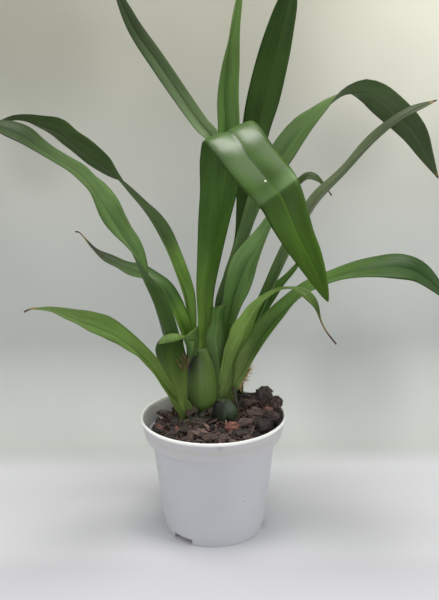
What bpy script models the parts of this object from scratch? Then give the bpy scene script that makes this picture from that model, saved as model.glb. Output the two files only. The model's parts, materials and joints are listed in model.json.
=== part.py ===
"""Potted oncidium orchid: white nursery pot, coarse bark, two pseudobulbs and fourteen strap leaves.

Lengths below are in millimetres. X is to the right, Y to the back and Z up. The origin is the centre
of the pot's foot, on the surface that the pot stands on.
"""

import math
import random

import bpy
import bmesh
from mathutils import Euler, Vector

MM = 0.001
GAP = 0.3

# Pot
POT_HEIGHT = 98.0
RIM_RADIUS = 60.0
BAND_LOW_RADIUS = 56.5
BAND_HEIGHT = 17.0
BODY_TOP_RADIUS = 51.5
FOOT_RADIUS = 42.0
FOOT_HEIGHT = 6.0
FOOT_RING = 2.5
NOTCH_HEIGHT = 4.6
WALL = 1.5
FLOOR_TOP = 6.5
RECESS_TOP = 5.0
POT_SIDES = 48
NOTCH_WIDTH = 19.0
NOTCH_ANGLES = (-128.0, -8.0, 112.0)
DRAIN_RADIUS = 4.5
DRAIN_CIRCLE = 27.0
DRAIN_COUNT = 6
DRAIN_TURN = 32.0
PAD_RADIUS = 12.0
# The rim band stands out from the body by a ledge: its height outside, and from where to where inside
LEDGE = POT_HEIGHT - BAND_HEIGHT
LEDGE_LOW = LEDGE - 0.5 + WALL
LEDGE_HIGH = LEDGE + WALL

# Bark
BARK_SEED = 7
BARK_LEVEL = 89.0
BARK_SLOPE = 0.08
# Heaps on the bed: centre x, y, height and spread
BARK_HEAPS = (
    (-5.0, 22.0, 6.5, 28.0),
    (42.0, 16.0, 13.0, 20.0),
)
BARK_SIDES = 36
CHIP_COUNT = 92
CHIP_LENGTHS = (9.0, 17.0)
CHIP_WIDTHS = (0.5, 0.8)
CHIP_HEIGHTS = (0.35, 0.55)
HOLE_FLOOR = 84.0
HOLE_TOP = 150.0
# Plain holes that the plant stands in: centre x, y and half sizes
PLANT_HOLES = (
    (-8.0, 28.0, 15.5, 12.0),
    (13.0, -1.0, 15.5, 10.0),
    (-26.0, 23.0, 10.5, 28.0),
    (11.0, 18.0, 9.0, 10.0),
    (20.0, 28.0, 14.0, 18.0),
    (0.0, 46.0, 19.0, 9.0),
)

# Pseudobulbs: height, centre x, centre y, half width, half depth
MAIN_BULB = (
    (HOLE_FLOOR + GAP, -10.0, 28.0, 6.5, 5.5),
    (92.0, -10.0, 28.0, 10.0, 8.0),
    (97.0, -10.0, 28.0, 12.2, 9.3),
    (103.0, -9.7, 28.0, 14.0, 10.3),
    (112.0, -9.5, 28.0, 14.6, 10.6),
    (123.0, -9.8, 28.0, 13.2, 10.0),
    (134.0, -10.4, 28.3, 10.4, 8.4),
    (142.0, -10.6, 29.0, 6.8, 6.0),
    (146.0, -10.6, 29.5, 4.0, 3.6),
)
OLD_BULB = (
    (HOLE_FLOOR + GAP, 9.8, -1.0, 8.0, 6.5),
    (91.0, 9.7, -1.0, 10.4, 8.0),
    (97.0, 9.6, -1.0, 10.8, 8.3),
    (102.0, 9.5, -1.0, 10.2, 7.8),
    (107.0, 9.3, -0.6, 8.6, 6.6),
    (111.0, 9.0, -0.2, 5.6, 4.6),
    (113.0, 8.8, 0.0, 2.8, 2.4),
)

# Blades
BLADE_STEP = 13.0
FOLDED_STEP = 8.0
SHEATH_STEP = 8.0
HUSK_STEP = 6.0
ROOT_STEP = 3.0
RIB_THICKNESS = 1.5
EDGE_THICKNESS = 0.8
ACROSS = (-1.0, -0.5, 0.0, 0.5, 1.0)

# A blade is a list of stations from its base to its tip. Each station is the point midway between the
# two edges, the width, the angle that each half is folded up, and the way that the upper face looks.
LEAVES = {
    "leaf_front_fold": (
        (-9.8, 30.5, 147.2, 13, 40, (0.1, 1, 0.1)),
        (-7, 25, 172, 18, 48, (0.1, 1, 0.1)),
        (-6, 21, 198, 24, 50, (0.1, 1, 0.1)),
        (-2, 16, 226, 28, 45, (0.0, 1, 0.1)),
        (3, 8, 257, 31, 35, (-0.1, 1, 0.2)),
        (7, -1, 284, 34, 24, (-0.1, 1, 0.3)),
        (12, -12, 313, 35, 14, (-0.1, 0.9, 0.4)),
        (14, -24, 326, 36, 8, (-0.2, 0.1, 1)),
        (21, -37, 320, 36, 8, (-0.3, -0.6, 0.7)),
        (38, -56, 299, 36, 12, (-0.5, -0.8, 0.3)),
        (55, -75, 269, 32, 14, (-0.5, -0.8, 0.2)),
        (64, -83, 250, 25, 14, (-0.5, -0.8, 0.1)),
        (72, -90, 233, 16, 12, (-0.5, -0.8, 0.1)),
        (79, -96, 216, 1.2, 5, (-0.5, -0.8, 0.1)),
    ),
    "leaf_left_back": (
        (-23, 41, 84.3, 8, 45, (0.9, -0.4, 0.1)),
        (-20, 41, 125, 10, 50, (0.9, -0.4, 0.1)),
        (-17, 40, 161, 13, 50, (0.8, -0.4, 0.2)),
        (-22, 43, 201, 18, 35, (0.9, -0.4, 0.2)),
        (-31, 48, 225, 22, 25, (0.8, -0.3, 0.4)),
        (-42, 53, 248, 24, 20, (0.8, -0.3, 0.5)),
        (-56, 58, 266, 24, 16, (0.7, -0.1, 0.7)),
        (-70, 63, 279, 24, 12, (0.7, 0.2, 0.7)),
        (-85, 69, 295, 25, 12, (0.7, 0.4, 0.6)),
        (-106, 78, 311, 26, 12, (0.6, 0.7, 0.4)),
        (-133, 90, 330, 26, 14, (0.4, 0.7, 0.6)),
        (-157, 98, 334, 24, 14, (0.2, 0.6, 0.8)),
        (-190, 104, 331, 16, 12, (0.0, 0.7, 0.7)),
        (-214, 108, 321, 1.2, 5, (-0.2, 0.6, 0.8)),
    ),
    "leaf_left_front": (
        (-26, 17.5, 128, 10, 35, (0.1, 1, 0)),
        (-29, 17.5, 148, 13, 38, (0.3, 0.9, 0.1)),
        (-34, 11.5, 168, 18, 38, (0.7, 0.6, 0.2)),
        (-42, 0, 197, 25, 36, (0.8, 0.4, 0.3)),
        (-53, -8, 227, 27, 30, (0.9, 0.1, 0.4)),
        (-63, -16, 251, 28, 22, (0.9, -0.3, 0.4)),
        (-73, -24, 269, 28, 16, (0.7, -0.5, 0.4)),
        (-82, -31, 287, 28, 14, (0.7, -0.4, 0.6)),
        (-97, -37, 304, 28, 12, (0.6, -0.3, 0.7)),
        (-111, -42, 313, 27, 12, (0.6, -0.3, 0.8)),
        (-125, -46, 322, 25, 12, (0.5, -0.3, 0.8)),
        (-143, -50, 331, 17, 10, (0.4, -0.4, 0.8)),
        (-159, -53, 337, 1.2, 5, (0.3, -0.5, 0.8)),
    ),
    "leaf_left_short": (
        (-30, 31, 84.3, 8, 45, (0.8, -0.5, 0.1)),
        (-28, 31, 125, 11, 45, (0.8, -0.6, 0.1)),
        (-25, 31, 159, 15, 40, (0.7, -0.7, 0.2)),
        (-28, 32, 173, 19, 32, (0.5, -0.8, 0.3)),
        (-34, 34, 185, 21, 25, (0.5, -0.8, 0.4)),
        (-44, 38, 200, 21, 20, (0.4, -0.7, 0.6)),
        (-64, 46, 212, 20, 16, (0.2, -0.5, 0.8)),
        (-77, 53, 215, 17, 14, (0.2, -0.4, 0.9)),
        (-93, 60, 221, 12, 12, (0.3, -0.4, 0.9)),
        (-104, 64, 227, 5, 10, (0.4, -0.3, 0.8)),
        (-113, 67, 237, 1.6, 5, (0.5, -0.4, 0.7)),
        (-121, 70, 243, 1.0, 5, (0.3, -0.6, 0.8)),
    ),
    "leaf_left_low": (
        (-24, 8, 85.1, 12, 30, (0.5, -0.8, 0.1)),
        (-26, 7, 99, 18, 35, (0.6, -0.8, 0.2)),
        (-34, 1, 117, 20, 38, (0.7, -0.6, 0.3)),
        (-42, -6, 134, 21, 36, (0.8, -0.4, 0.4)),
        (-50, -15, 151, 21, 30, (0.8, -0.3, 0.5)),
        (-59, -27, 167, 22, 24, (0.7, -0.2, 0.7)),
        (-71, -40, 180, 23, 18, (0.5, -0.2, 0.8)),
        (-82, -52, 190, 23, 14, (0.5, -0.1, 0.8)),
        (-95, -62, 198, 19, 14, (0.4, 0, 0.9)),
        (-106, -71, 204, 13, 12, (0.4, 0, 0.9)),
        (-115, -77, 208, 6, 10, (0.2, 0, 1)),
        (-126, -84, 208, 1.2, 5, (0, -0.2, 1)),
    ),
    "leaf_centre": (
        (1, 44, 84.3, 9, 45, (0.1, -1, 0)),
        (2, 45, 130, 10, 50, (0.1, -1, 0)),
        (5, 46, 175, 13, 50, (0.1, -1, 0)),
        (7, 46, 221, 18, 42, (0.1, -1, 0)),
        (10, 46, 255, 21, 40, (0.2, -1, 0)),
        (14, 45, 295, 24, 38, (0.3, -1, 0)),
        (15, 43, 328, 26, 36, (0.4, -0.9, 0)),
        (15, 40, 354, 27, 34, (0.5, -0.9, 0)),
        (17, 34, 376, 25, 34, (0.6, -0.8, -0.1)),
        (21, 24, 403, 19, 32, (0.8, -0.5, -0.2)),
        (23, 14, 422, 11, 25, (0.8, -0.4, -0.3)),
        (25, 7, 434, 1.2, 5, (0.7, -0.5, -0.4)),
    ),
    "leaf_upright": (
        (8, 50, 84.3, 9, 45, (-0.3, 1, 0)),
        (5, 52, 130, 10, 50, (-0.3, 1, 0)),
        (5, 54, 168, 12, 50, (-0.4, 0.9, 0)),
        (11, 56, 196, 18, 45, (-0.5, 0.8, 0.1)),
        (24, 57, 236, 22, 40, (-0.6, 0.7, 0.1)),
        (32, 56, 285, 25, 30, (-0.5, 0.8, 0.1)),
        (39, 53, 329, 28, 20, (-0.4, 0.9, 0.2)),
        (44, 49, 351, 30, 14, (-0.3, 0.9, 0.2)),
        (51, 44, 380, 29, 14, (-0.3, 0.9, 0.3)),
        (57, 38, 404, 26, 14, (-0.4, 0.8, 0.3)),
        (62, 33, 424, 18, 12, (-0.4, 0.8, 0.3)),
        (65, 28, 442, 1.2, 5, (-0.4, 0.8, 0.3)),
    ),
    "leaf_narrow_left": (
        (-8, 49, 84.3, 8, 45, (0.6, -0.8, 0)),
        (-6, 55, 130, 9, 50, (0.6, -0.8, 0)),
        (-4, 61, 164, 10, 45, (0.6, -0.8, 0)),
        (-4, 66, 214, 13, 40, (0.7, -0.7, 0)),
        (-2, 71, 268, 14, 35, (0.7, -0.7, 0.1)),
        (-5, 78, 314, 16, 30, (0.6, -0.7, 0.3)),
        (-26, 88, 358, 16, 24, (0.5, -0.7, 0.4)),
        (-46, 94, 386, 16, 18, (0.4, -0.8, 0.4)),
        (-64, 99, 415, 14, 16, (0.4, -0.8, 0.4)),
        (-76, 102, 436, 10, 14, (0.4, -0.8, 0.3)),
        (-84, 104, 454, 1.2, 5, (0.5, -0.7, 0.3)),
    ),
    "leaf_right_arch": (
        (11, 41, 84.3, 8, 45, (-0.7, -0.6, 0.1)),
        (7, 41, 140, 10, 50, (-0.7, -0.6, 0.1)),
        (6, 40, 182, 13, 48, (-0.7, -0.6, 0.3)),
        (17, 39, 210, 18, 42, (-0.7, -0.6, 0.3)),
        (29, 38, 244, 22, 36, (-0.8, -0.5, 0.3)),
        (42, 34, 281, 25, 26, (-0.7, -0.6, 0.3)),
        (60, 28, 311, 27, 16, (-0.6, -0.7, 0.3)),
        (71, 24, 326, 27, 14, (-0.7, -0.6, 0.4)),
        (81, 20, 336, 27, 12, (-0.7, -0.4, 0.6)),
        (92, 16, 346, 27, 8, (-0.6, -0.2, 0.8)),
        (102, 12, 353, 27, 6, (-0.4, 0.1, 0.9)),
        (111, 8, 354, 27, 6, (0, 0.4, 0.9)),
        (120, 5, 353, 27, 8, (0.4, 0.6, 0.7)),
        (132, 1, 345, 27, 10, (0.6, 0.7, 0.4)),
        (152, -6, 325, 23, 12, (0.6, 0.7, 0.3)),
        (163, -9, 306, 12, 10, (0.6, 0.7, 0.2)),
        (172, -11, 290, 1.2, 5, (0.7, 0.7, 0.3)),
    ),
    "leaf_right_channel": (
        (24, 38, 84.3, 8, 45, (-0.8, -0.5, 0.1)),
        (24, 34, 120, 10, 50, (-0.8, -0.5, 0.1)),
        (27, 27, 143, 12, 48, (-0.8, -0.5, 0.2)),
        (35, 18, 172, 16, 42, (-0.9, -0.4, 0.2)),
        (45, 9, 198, 18, 36, (-0.9, -0.4, 0.2)),
        (60, -3, 236, 19, 34, (-0.9, -0.3, 0.3)),
        (79, -11, 273, 18, 34, (-0.8, -0.3, 0.4)),
        (100, -16, 297, 16, 34, (-0.7, -0.1, 0.7)),
        (120, -19, 319, 16, 30, (-0.7, -0.3, 0.7)),
        (140, -20, 335, 13, 24, (-0.5, -0.4, 0.8)),
        (152, -20, 341, 10, 16, (-0.4, -0.5, 0.8)),
        (165, -20, 346, 1.2, 5, (-0.3, -0.5, 0.8)),
    ),
    "leaf_right_short": (
        (15, 33, 84.3, 8, 45, (0, -1, 0)),
        (13, 31, 125, 9, 50, (0.1, -1, 0)),
        (12, 28, 156, 12, 50, (0.1, -1, 0)),
        (16, 26, 183, 20, 42, (0, -1, 0)),
        (21, 26, 200, 25, 32, (-0.1, -1, 0)),
        (27, 25, 218, 26, 26, (-0.3, -0.9, 0.2)),
        (34, 22, 231, 24, 24, (-0.6, -0.7, 0.3)),
        (41, 19, 243, 21, 22, (-0.8, -0.5, 0.4)),
        (47, 16, 254, 19, 22, (-0.8, -0.4, 0.5)),
        (59, 12, 272, 16, 22, (-0.8, -0.3, 0.5)),
        (69, 8, 286, 13, 18, (-0.7, -0.3, 0.6)),
        (76, 5, 292, 11, 12, (-0.4, -0.4, 0.8)),
        (83, 3, 290, 7, 10, (0.2, -0.6, 0.7)),
        (88, 1, 285, 2.4, 5, (0.4, -0.7, 0.6)),
        (94, -1, 277, 1.0, 5, (0.5, -0.7, 0.5)),
    ),
    "leaf_right_low": (
        (20, 28, 85.5, 10, 40, (-0.9, -0.3, 0.1)),
        (17.5, 24, 110, 13, 40, (-0.9, -0.3, 0.1)),
        (25.5, 15, 131, 20, 36, (-0.8, -0.5, 0.2)),
        (32, 5, 153, 25, 28, (-0.8, -0.5, 0.4)),
        (43, -6, 174, 27, 20, (-0.8, -0.3, 0.5)),
        (56, -17, 192, 27, 16, (-0.7, -0.1, 0.7)),
        (70, -28, 208, 26, 14, (-0.6, 0, 0.8)),
        (87, -38, 219, 26, 12, (-0.5, -0.1, 0.9)),
        (102, -46, 226, 26, 12, (-0.4, -0.2, 0.9)),
        (120, -53, 230, 26, 12, (-0.3, -0.4, 0.9)),
        (134, -58, 231, 25, 12, (-0.1, -0.6, 0.8)),
        (147, -62, 228, 21, 12, (0.2, -0.7, 0.7)),
        (160, -66, 217, 12, 10, (0.4, -0.7, 0.6)),
        (168, -69, 207, 1.2, 5, (0.5, -0.7, 0.5)),
    ),
    "leaf_right_lime": (
        (14, 18, 85.5, 9, 30, (-0.6, 0.8, 0)),
        (10.5, 16, 104, 10, 32, (-0.5, 0.8, 0)),
        (10.5, 9, 128, 16, 34, (-0.4, 0.9, 0.2)),
        (14, 3, 149, 21, 30, (-0.4, 0.9, 0.3)),
        (20, -7, 166, 25, 24, (-0.6, 0.8, 0.4)),
        (27, -19, 186, 22, 16, (-0.8, 0.4, 0.5)),
        (35, -31, 200, 16, 12, (-0.7, 0.2, 0.7)),
        (43, -41, 209, 12, 10, (-0.5, 0.1, 0.9)),
        (51, -50, 215, 12, 8, (-0.3, 0.1, 0.9)),
        (58, -57, 217, 13, 8, (0, -0.1, 1)),
        (65, -64, 216, 13, 8, (0.2, -0.4, 0.9)),
        (71, -69, 211, 10, 8, (0.4, -0.6, 0.7)),
        (75, -73, 205, 5, 5, (0.6, -0.6, 0.5)),
        (77, -75, 198, 1.8, 5, (0.7, -0.6, 0.4)),
        (81, -77, 190, 1.4, 5, (0.7, -0.5, 0.5)),
        (88, -79, 181, 1.0, 5, (0.6, -0.6, 0.5)),
    ),
    "leaf_right_hidden": (
        (18, 42, 84.3, 8, 45, (-0.8, -0.5, 0.1)),
        (21, 41, 118, 10, 45, (-0.8, -0.5, 0.1)),
        (28, 37, 145, 12, 42, (-0.8, -0.5, 0.2)),
        (35, 32, 166, 16, 34, (-0.8, -0.5, 0.3)),
        (43, 27, 182, 18, 26, (-0.8, -0.5, 0.3)),
        (52, 22, 196, 17, 22, (-0.8, -0.4, 0.4)),
        (60, 17, 207, 14, 20, (-0.8, -0.2, 0.5)),
        (67, 12, 217, 9, 14, (-0.8, -0.3, 0.5)),
        (74, 8, 229, 1.2, 5, (-0.8, -0.5, 0.4)),
    ),
}

SHEATHS = {
    "sheath_left": (
        (-27, 19, 85, 10, 25, (0.2, 0.9, 0)),
        (-28, 17, 101, 12, 25, (0.1, 1, 0)),
        (-29.5, 15.5, 112, 15, 25, (0, 1, 0)),
        (-30.5, 14.5, 123, 17, 25, (0, 1, 0)),
        (-32.5, 12.5, 134, 21, 25, (0, 1, 0)),
        (-35, 10, 146, 25, 25, (0, 1, 0)),
        (-36.5, 7.5, 157, 27, 24, (0, 1, 0.3)),
        (-37.5, 3, 164, 27, 20, (0, 0.7, 0.8)),
        (-38, -2.5, 164.5, 26, 16, (0, -0.3, 1)),
        (-38, -6.5, 159, 23, 10, (0, -0.9, 0.5)),
    ),
    "sheath_right": (
        (11, 23, 85, 9, 25, (-0.8, 0.5, 0)),
        (8, 21, 112, 11, 28, (-0.7, 0.7, 0)),
        (5, 18, 130, 14, 30, (-0.5, 0.8, 0)),
        (3, 16, 148, 19, 34, (-0.3, 0.9, 0)),
        (4, 17, 165, 18, 34, (-0.3, 0.9, 0)),
        (7, 19, 186, 14, 28, (-0.2, 1, 0)),
    ),
}

HUSKS = {
    "husk_left": (
        (-22, 14.4, 124, 3, 10, (-0.3, 1, 0)),
        (-24, 11.6, 131, 5, 15, (-0.4, 1, 0)),
        (-26, 8.7, 139, 5, 15, (-0.4, 1, 0.1)),
        (-28, 6.2, 145, 2, 5, (-0.4, 1, 0.1)),
    ),
    "husk_right": (
        (22.0, 19.6, 112.5, 4, 15, (-0.91, 0.4, 0)),
        (26.1, 17.0, 122, 6, 15, (-0.98, 0.2, 0.2)),
        (30.2, 12.9, 131, 5, 12, (-1, 0.1, 0.3)),
        (32.5, 12, 136.5, 2, 5, (-1, 0.1, 0.3)),
    ),
}

ROOT_RADIUS = 1.9
ROOT_PATH = (
    (17, 12.5, 117.5),
    (19, 9.5, 112),
    (21, 6, 106),
    (22.5, 2.5, 99),
    (23.2, 0, 92),
    (23.5, -1, 84.8),
)

LEAF_GREENS = {
    "leaf_front_fold": (0.06, 0.15, 0.03),
    "leaf_left_back": (0.04, 0.08, 0.02),
    "leaf_left_front": (0.09, 0.19, 0.05),
    "leaf_left_short": (0.08, 0.15, 0.05),
    "leaf_left_low": (0.11, 0.21, 0.04),
    "leaf_centre": (0.08, 0.16, 0.04),
    "leaf_upright": (0.03, 0.07, 0.01),
    "leaf_narrow_left": (0.06, 0.12, 0.03),
    "leaf_right_arch": (0.07, 0.15, 0.04),
    "leaf_right_channel": (0.06, 0.11, 0.03),
    "leaf_right_short": (0.06, 0.13, 0.04),
    "leaf_right_low": (0.07, 0.17, 0.04),
    "leaf_right_lime": (0.18, 0.31, 0.06),
    "leaf_right_hidden": (0.03, 0.08, 0.02),
}


def clear_scene():
    for old in list(bpy.data.objects):
        bpy.data.objects.remove(old, do_unlink=True)


def finish_material(name, colour, roughness, metallic=0.0):
    material = bpy.data.materials.new(name)
    material.use_nodes = True
    shader = material.node_tree.nodes["Principled BSDF"]
    shader.inputs["Base Color"].default_value = (*colour, 1.0)
    shader.inputs["Roughness"].default_value = roughness
    shader.inputs["Metallic"].default_value = metallic
    material.diffuse_color = (*colour, 1.0)
    return material


def new_object(name, mesh, material=None):
    piece = bpy.data.objects.new(name, mesh)
    bpy.context.scene.collection.objects.link(piece)
    if material:
        piece.data.materials.append(material)
    return piece


def mesh_from(name, points, faces):
    mesh = bpy.data.meshes.new(name)
    mesh.from_pydata([(x * MM, y * MM, z * MM) for x, y, z in points], [], faces)
    mesh.validate()
    mesh.update()
    return mesh


def face_outwards(mesh):
    work = bmesh.new()
    work.from_mesh(mesh)
    if work.calc_volume(signed=True) < 0.0:
        bmesh.ops.reverse_faces(work, faces=work.faces)
    work.to_mesh(mesh)
    work.free()


def smooth(mesh, angle=40.0):
    mesh.shade_smooth()
    mesh.set_sharp_from_angle(angle=math.radians(angle))


def apply_modifiers(piece):
    """Replace the piece's mesh by the one that its modifiers make."""
    depsgraph = bpy.context.evaluated_depsgraph_get()
    mesh = bpy.data.meshes.new_from_object(piece.evaluated_get(depsgraph))
    piece.modifiers.clear()
    piece.data = mesh


def boolean(piece, operation, collection):
    """Cut or join every object of a collection at once, then remove them."""
    modifier = piece.modifiers.new(operation.lower(), "BOOLEAN")
    modifier.operation = operation
    modifier.operand_type = "COLLECTION"
    modifier.collection = collection
    modifier.solver = "MANIFOLD"
    apply_modifiers(piece)
    for tool in list(collection.objects):
        bpy.data.objects.remove(tool, do_unlink=True)
    bpy.data.collections.remove(collection)


def tool_collection(name):
    collection = bpy.data.collections.new(name)
    bpy.context.scene.collection.children.link(collection)
    return collection


def add_tool(collection, mesh):
    tool = bpy.data.objects.new(mesh.name, mesh)
    tool.hide_render = True
    tool.display_type = "WIRE"
    collection.objects.link(tool)
    return tool


def keep_largest_body(mesh):
    """Drop loose scraps that a cut leaves behind."""
    work = bmesh.new()
    work.from_mesh(mesh)
    unseen = set(work.verts)
    bodies = []
    while unseen:
        queue = [unseen.pop()]
        body = set(queue)
        while queue:
            vertex = queue.pop()
            for edge in vertex.link_edges:
                other = edge.other_vert(vertex)
                if other in unseen:
                    unseen.discard(other)
                    body.add(other)
                    queue.append(other)
        bodies.append(body)
    bodies.sort(key=len)
    scraps = [vertex for body in bodies[:-1] for vertex in body]
    bmesh.ops.delete(work, geom=scraps, context="VERTS")
    work.to_mesh(mesh)
    work.free()


def turned(name, profile, sides):
    """Closed solid of revolution from (radius, height) points that start and end on the axis."""
    points = []
    rings = []
    for radius, height in profile:
        if radius == 0.0:
            rings.append([len(points)])
            points.append((0.0, 0.0, height))
            continue
        ring = []
        for i in range(sides):
            angle = 2.0 * math.pi * i / sides
            ring.append(len(points))
            points.append((radius * math.cos(angle), radius * math.sin(angle), height))
        rings.append(ring)
    faces = []
    for low, high in zip(rings, rings[1:]):
        for i in range(sides):
            j = (i + 1) % sides
            if len(low) == 1:
                faces.append((low[0], high[j], high[i]))
            elif len(high) == 1:
                faces.append((low[i], low[j], high[0]))
            else:
                faces.append((low[i], low[j], high[j], high[i]))
    return mesh_from(name, points, faces)


def prism(name, centre, half, low, high, sides):
    """Upright elliptical prism."""
    points = []
    for height in (low, high):
        for i in range(sides):
            angle = 2.0 * math.pi * i / sides
            x = centre[0] + half[0] * math.cos(angle)
            y = centre[1] + half[1] * math.sin(angle)
            points.append((x, y, height))
    faces = [tuple(reversed(range(sides))), tuple(range(sides, 2 * sides))]
    for i in range(sides):
        j = (i + 1) % sides
        faces.append((i, j, sides + j, sides + i))
    return mesh_from(name, points, faces)


def block(name, centre, half, turn):
    """Box turned about Z, for cutting."""
    cos_turn = math.cos(turn)
    sin_turn = math.sin(turn)
    points = []
    for sz in (-1, 1):
        for sx, sy in ((-1, -1), (1, -1), (1, 1), (-1, 1)):
            x = sx * half[0]
            y = sy * half[1]
            px = centre[0] + x * cos_turn - y * sin_turn
            py = centre[1] + x * sin_turn + y * cos_turn
            points.append((px, py, centre[2] + sz * half[2]))
    faces = [(3, 2, 1, 0), (4, 5, 6, 7), (0, 1, 5, 4), (1, 2, 6, 5), (2, 3, 7, 6), (3, 0, 4, 7)]
    return mesh_from(name, points, faces)


def inner_radius(height):
    """Radius of the pot's inner wall at a height."""
    if height <= LEDGE_LOW:
        share = (height - FOOT_HEIGHT) / (LEDGE_LOW - FOOT_HEIGHT)
        return FOOT_RADIUS - WALL + share * (BODY_TOP_RADIUS - FOOT_RADIUS)
    if height <= LEDGE_HIGH:
        share = (height - LEDGE_LOW) / (LEDGE_HIGH - LEDGE_LOW)
        return BODY_TOP_RADIUS - WALL + share * (BAND_LOW_RADIUS - BODY_TOP_RADIUS)
    share = (height - LEDGE_HIGH) / (POT_HEIGHT - LEDGE_HIGH)
    return BAND_LOW_RADIUS - WALL + share * (RIM_RADIUS - BAND_LOW_RADIUS)


def make_pot():
    profile = [
        (0.0, 0.0),
        (PAD_RADIUS, 0.0),
        (PAD_RADIUS, RECESS_TOP),
        (FOOT_RADIUS - FOOT_RING, RECESS_TOP),
        (FOOT_RADIUS - FOOT_RING, 0.0),
        (FOOT_RADIUS - 0.5, 0.0),
        (FOOT_RADIUS, 0.6),
        (FOOT_RADIUS + 0.2, FOOT_HEIGHT),
        (FOOT_RADIUS + 0.9, FOOT_HEIGHT + 0.5),
        (BODY_TOP_RADIUS, LEDGE - 0.5),
        (BAND_LOW_RADIUS - 0.4, LEDGE),
        (BAND_LOW_RADIUS, LEDGE + 0.5),
        (RIM_RADIUS - 0.7, POT_HEIGHT - 2.2),
        (RIM_RADIUS, POT_HEIGHT - 1.6),
        (RIM_RADIUS, POT_HEIGHT - 0.6),
        (RIM_RADIUS - 0.6, POT_HEIGHT),
        (RIM_RADIUS - 1.6, POT_HEIGHT),
        (inner_radius(POT_HEIGHT - 1.6) - 0.2, POT_HEIGHT - 1.0),
        (inner_radius(LEDGE_HIGH), LEDGE_HIGH),
        (inner_radius(LEDGE_LOW), LEDGE_LOW),
        (inner_radius(FLOOR_TOP + 1.5), FLOOR_TOP + 1.5),
        (inner_radius(FLOOR_TOP) - 1.5, FLOOR_TOP),
        (0.0, FLOOR_TOP),
    ]
    pot = new_object("pot", turned("pot", profile, POT_SIDES), finish_material("pot", (0.72, 0.72, 0.71), 0.35))
    cutters = tool_collection("pot_cutters")
    for angle in NOTCH_ANGLES:
        turn = math.radians(angle)
        radius = FOOT_RADIUS - 1.0
        centre = (radius * math.cos(turn), radius * math.sin(turn), 0.0)
        half = (4.0, NOTCH_WIDTH / 2.0, NOTCH_HEIGHT)
        add_tool(cutters, block("notch", centre, half, turn))
    for i in range(DRAIN_COUNT):
        angle = math.radians(DRAIN_TURN + 360.0 * i / DRAIN_COUNT)
        centre = (DRAIN_CIRCLE * math.cos(angle), DRAIN_CIRCLE * math.sin(angle))
        add_tool(cutters, prism("drain", centre, (DRAIN_RADIUS, DRAIN_RADIUS), 1.0, FLOOR_TOP + 2.0, 12))
    boolean(pot, "DIFFERENCE", cutters)
    smooth(pot.data, 35.0)
    return pot


def bark_height(x, y):
    """Height of the bark under its loose chips."""
    height = BARK_LEVEL + BARK_SLOPE * x
    for heap_x, heap_y, heap_height, spread in BARK_HEAPS:
        away = (x - heap_x) ** 2 + (y - heap_y) ** 2
        height += heap_height * math.exp(-away / spread ** 2)
    return height


def bark_core():
    """Body of the bark bed: it fits the pot's inner wall, with an uneven top."""
    side = [
        (inner_radius(FLOOR_TOP) - 1.5 - GAP, FLOOR_TOP + GAP),
        (inner_radius(FLOOR_TOP + 1.5) - GAP, FLOOR_TOP + 1.5 + GAP),
        (inner_radius(LEDGE_LOW) - GAP, LEDGE_LOW + 2.0 * GAP),
        (inner_radius(LEDGE_HIGH) - 1.5 * GAP, LEDGE_HIGH + 2.0 * GAP),
    ]
    points = [(0.0, 0.0, side[0][1])]
    rings = []
    for radius, height in side:
        ring = []
        for i in range(BARK_SIDES):
            angle = 2.0 * math.pi * i / BARK_SIDES
            ring.append(len(points))
            points.append((radius * math.cos(angle), radius * math.sin(angle), height))
        rings.append(ring)
    rim = side[-1][0]
    for share in (1.0, 0.8, 0.55, 0.3):
        ring = []
        for i in range(BARK_SIDES):
            angle = 2.0 * math.pi * i / BARK_SIDES
            x = rim * share * math.cos(angle)
            y = rim * share * math.sin(angle)
            ring.append(len(points))
            points.append((x, y, bark_height(x, y)))
        rings.append(ring)
    top = len(points)
    points.append((0.0, 0.0, bark_height(0.0, 0.0)))
    faces = []
    for i in range(BARK_SIDES):
        j = (i + 1) % BARK_SIDES
        faces.append((0, rings[0][j], rings[0][i]))
        for low, high in zip(rings, rings[1:]):
            faces.append((low[i], low[j], high[j]))
            faces.append((low[i], high[j], high[i]))
        faces.append((rings[-1][i], rings[-1][j], top))
    return mesh_from("bark_bed", points, faces)


def chip(dice, centre, size):
    """One bark chip: the hull of a box with pushed corners, turned at random."""
    yaw = dice.uniform(0.0, math.pi)
    tilt = dice.uniform(-0.6, 0.6)
    roll = dice.uniform(-0.5, 0.5)
    work = bmesh.new()
    for sx in (-1, 1):
        for sy in (-1, 1):
            for sz in (-1, 1):
                corner = Vector((
                    sx * size[0] * dice.uniform(0.32, 0.52),
                    sy * size[1] * dice.uniform(0.32, 0.52),
                    sz * size[2] * dice.uniform(0.32, 0.52),
                ))
                corner.rotate(Euler((roll, tilt, yaw)))
                work.verts.new((Vector(centre) + corner) * MM)
    bmesh.ops.convex_hull(work, input=work.verts)
    bmesh.ops.recalc_face_normals(work, faces=work.faces)
    mesh = bpy.data.meshes.new("chip")
    work.to_mesh(mesh)
    work.free()
    return mesh


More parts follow.
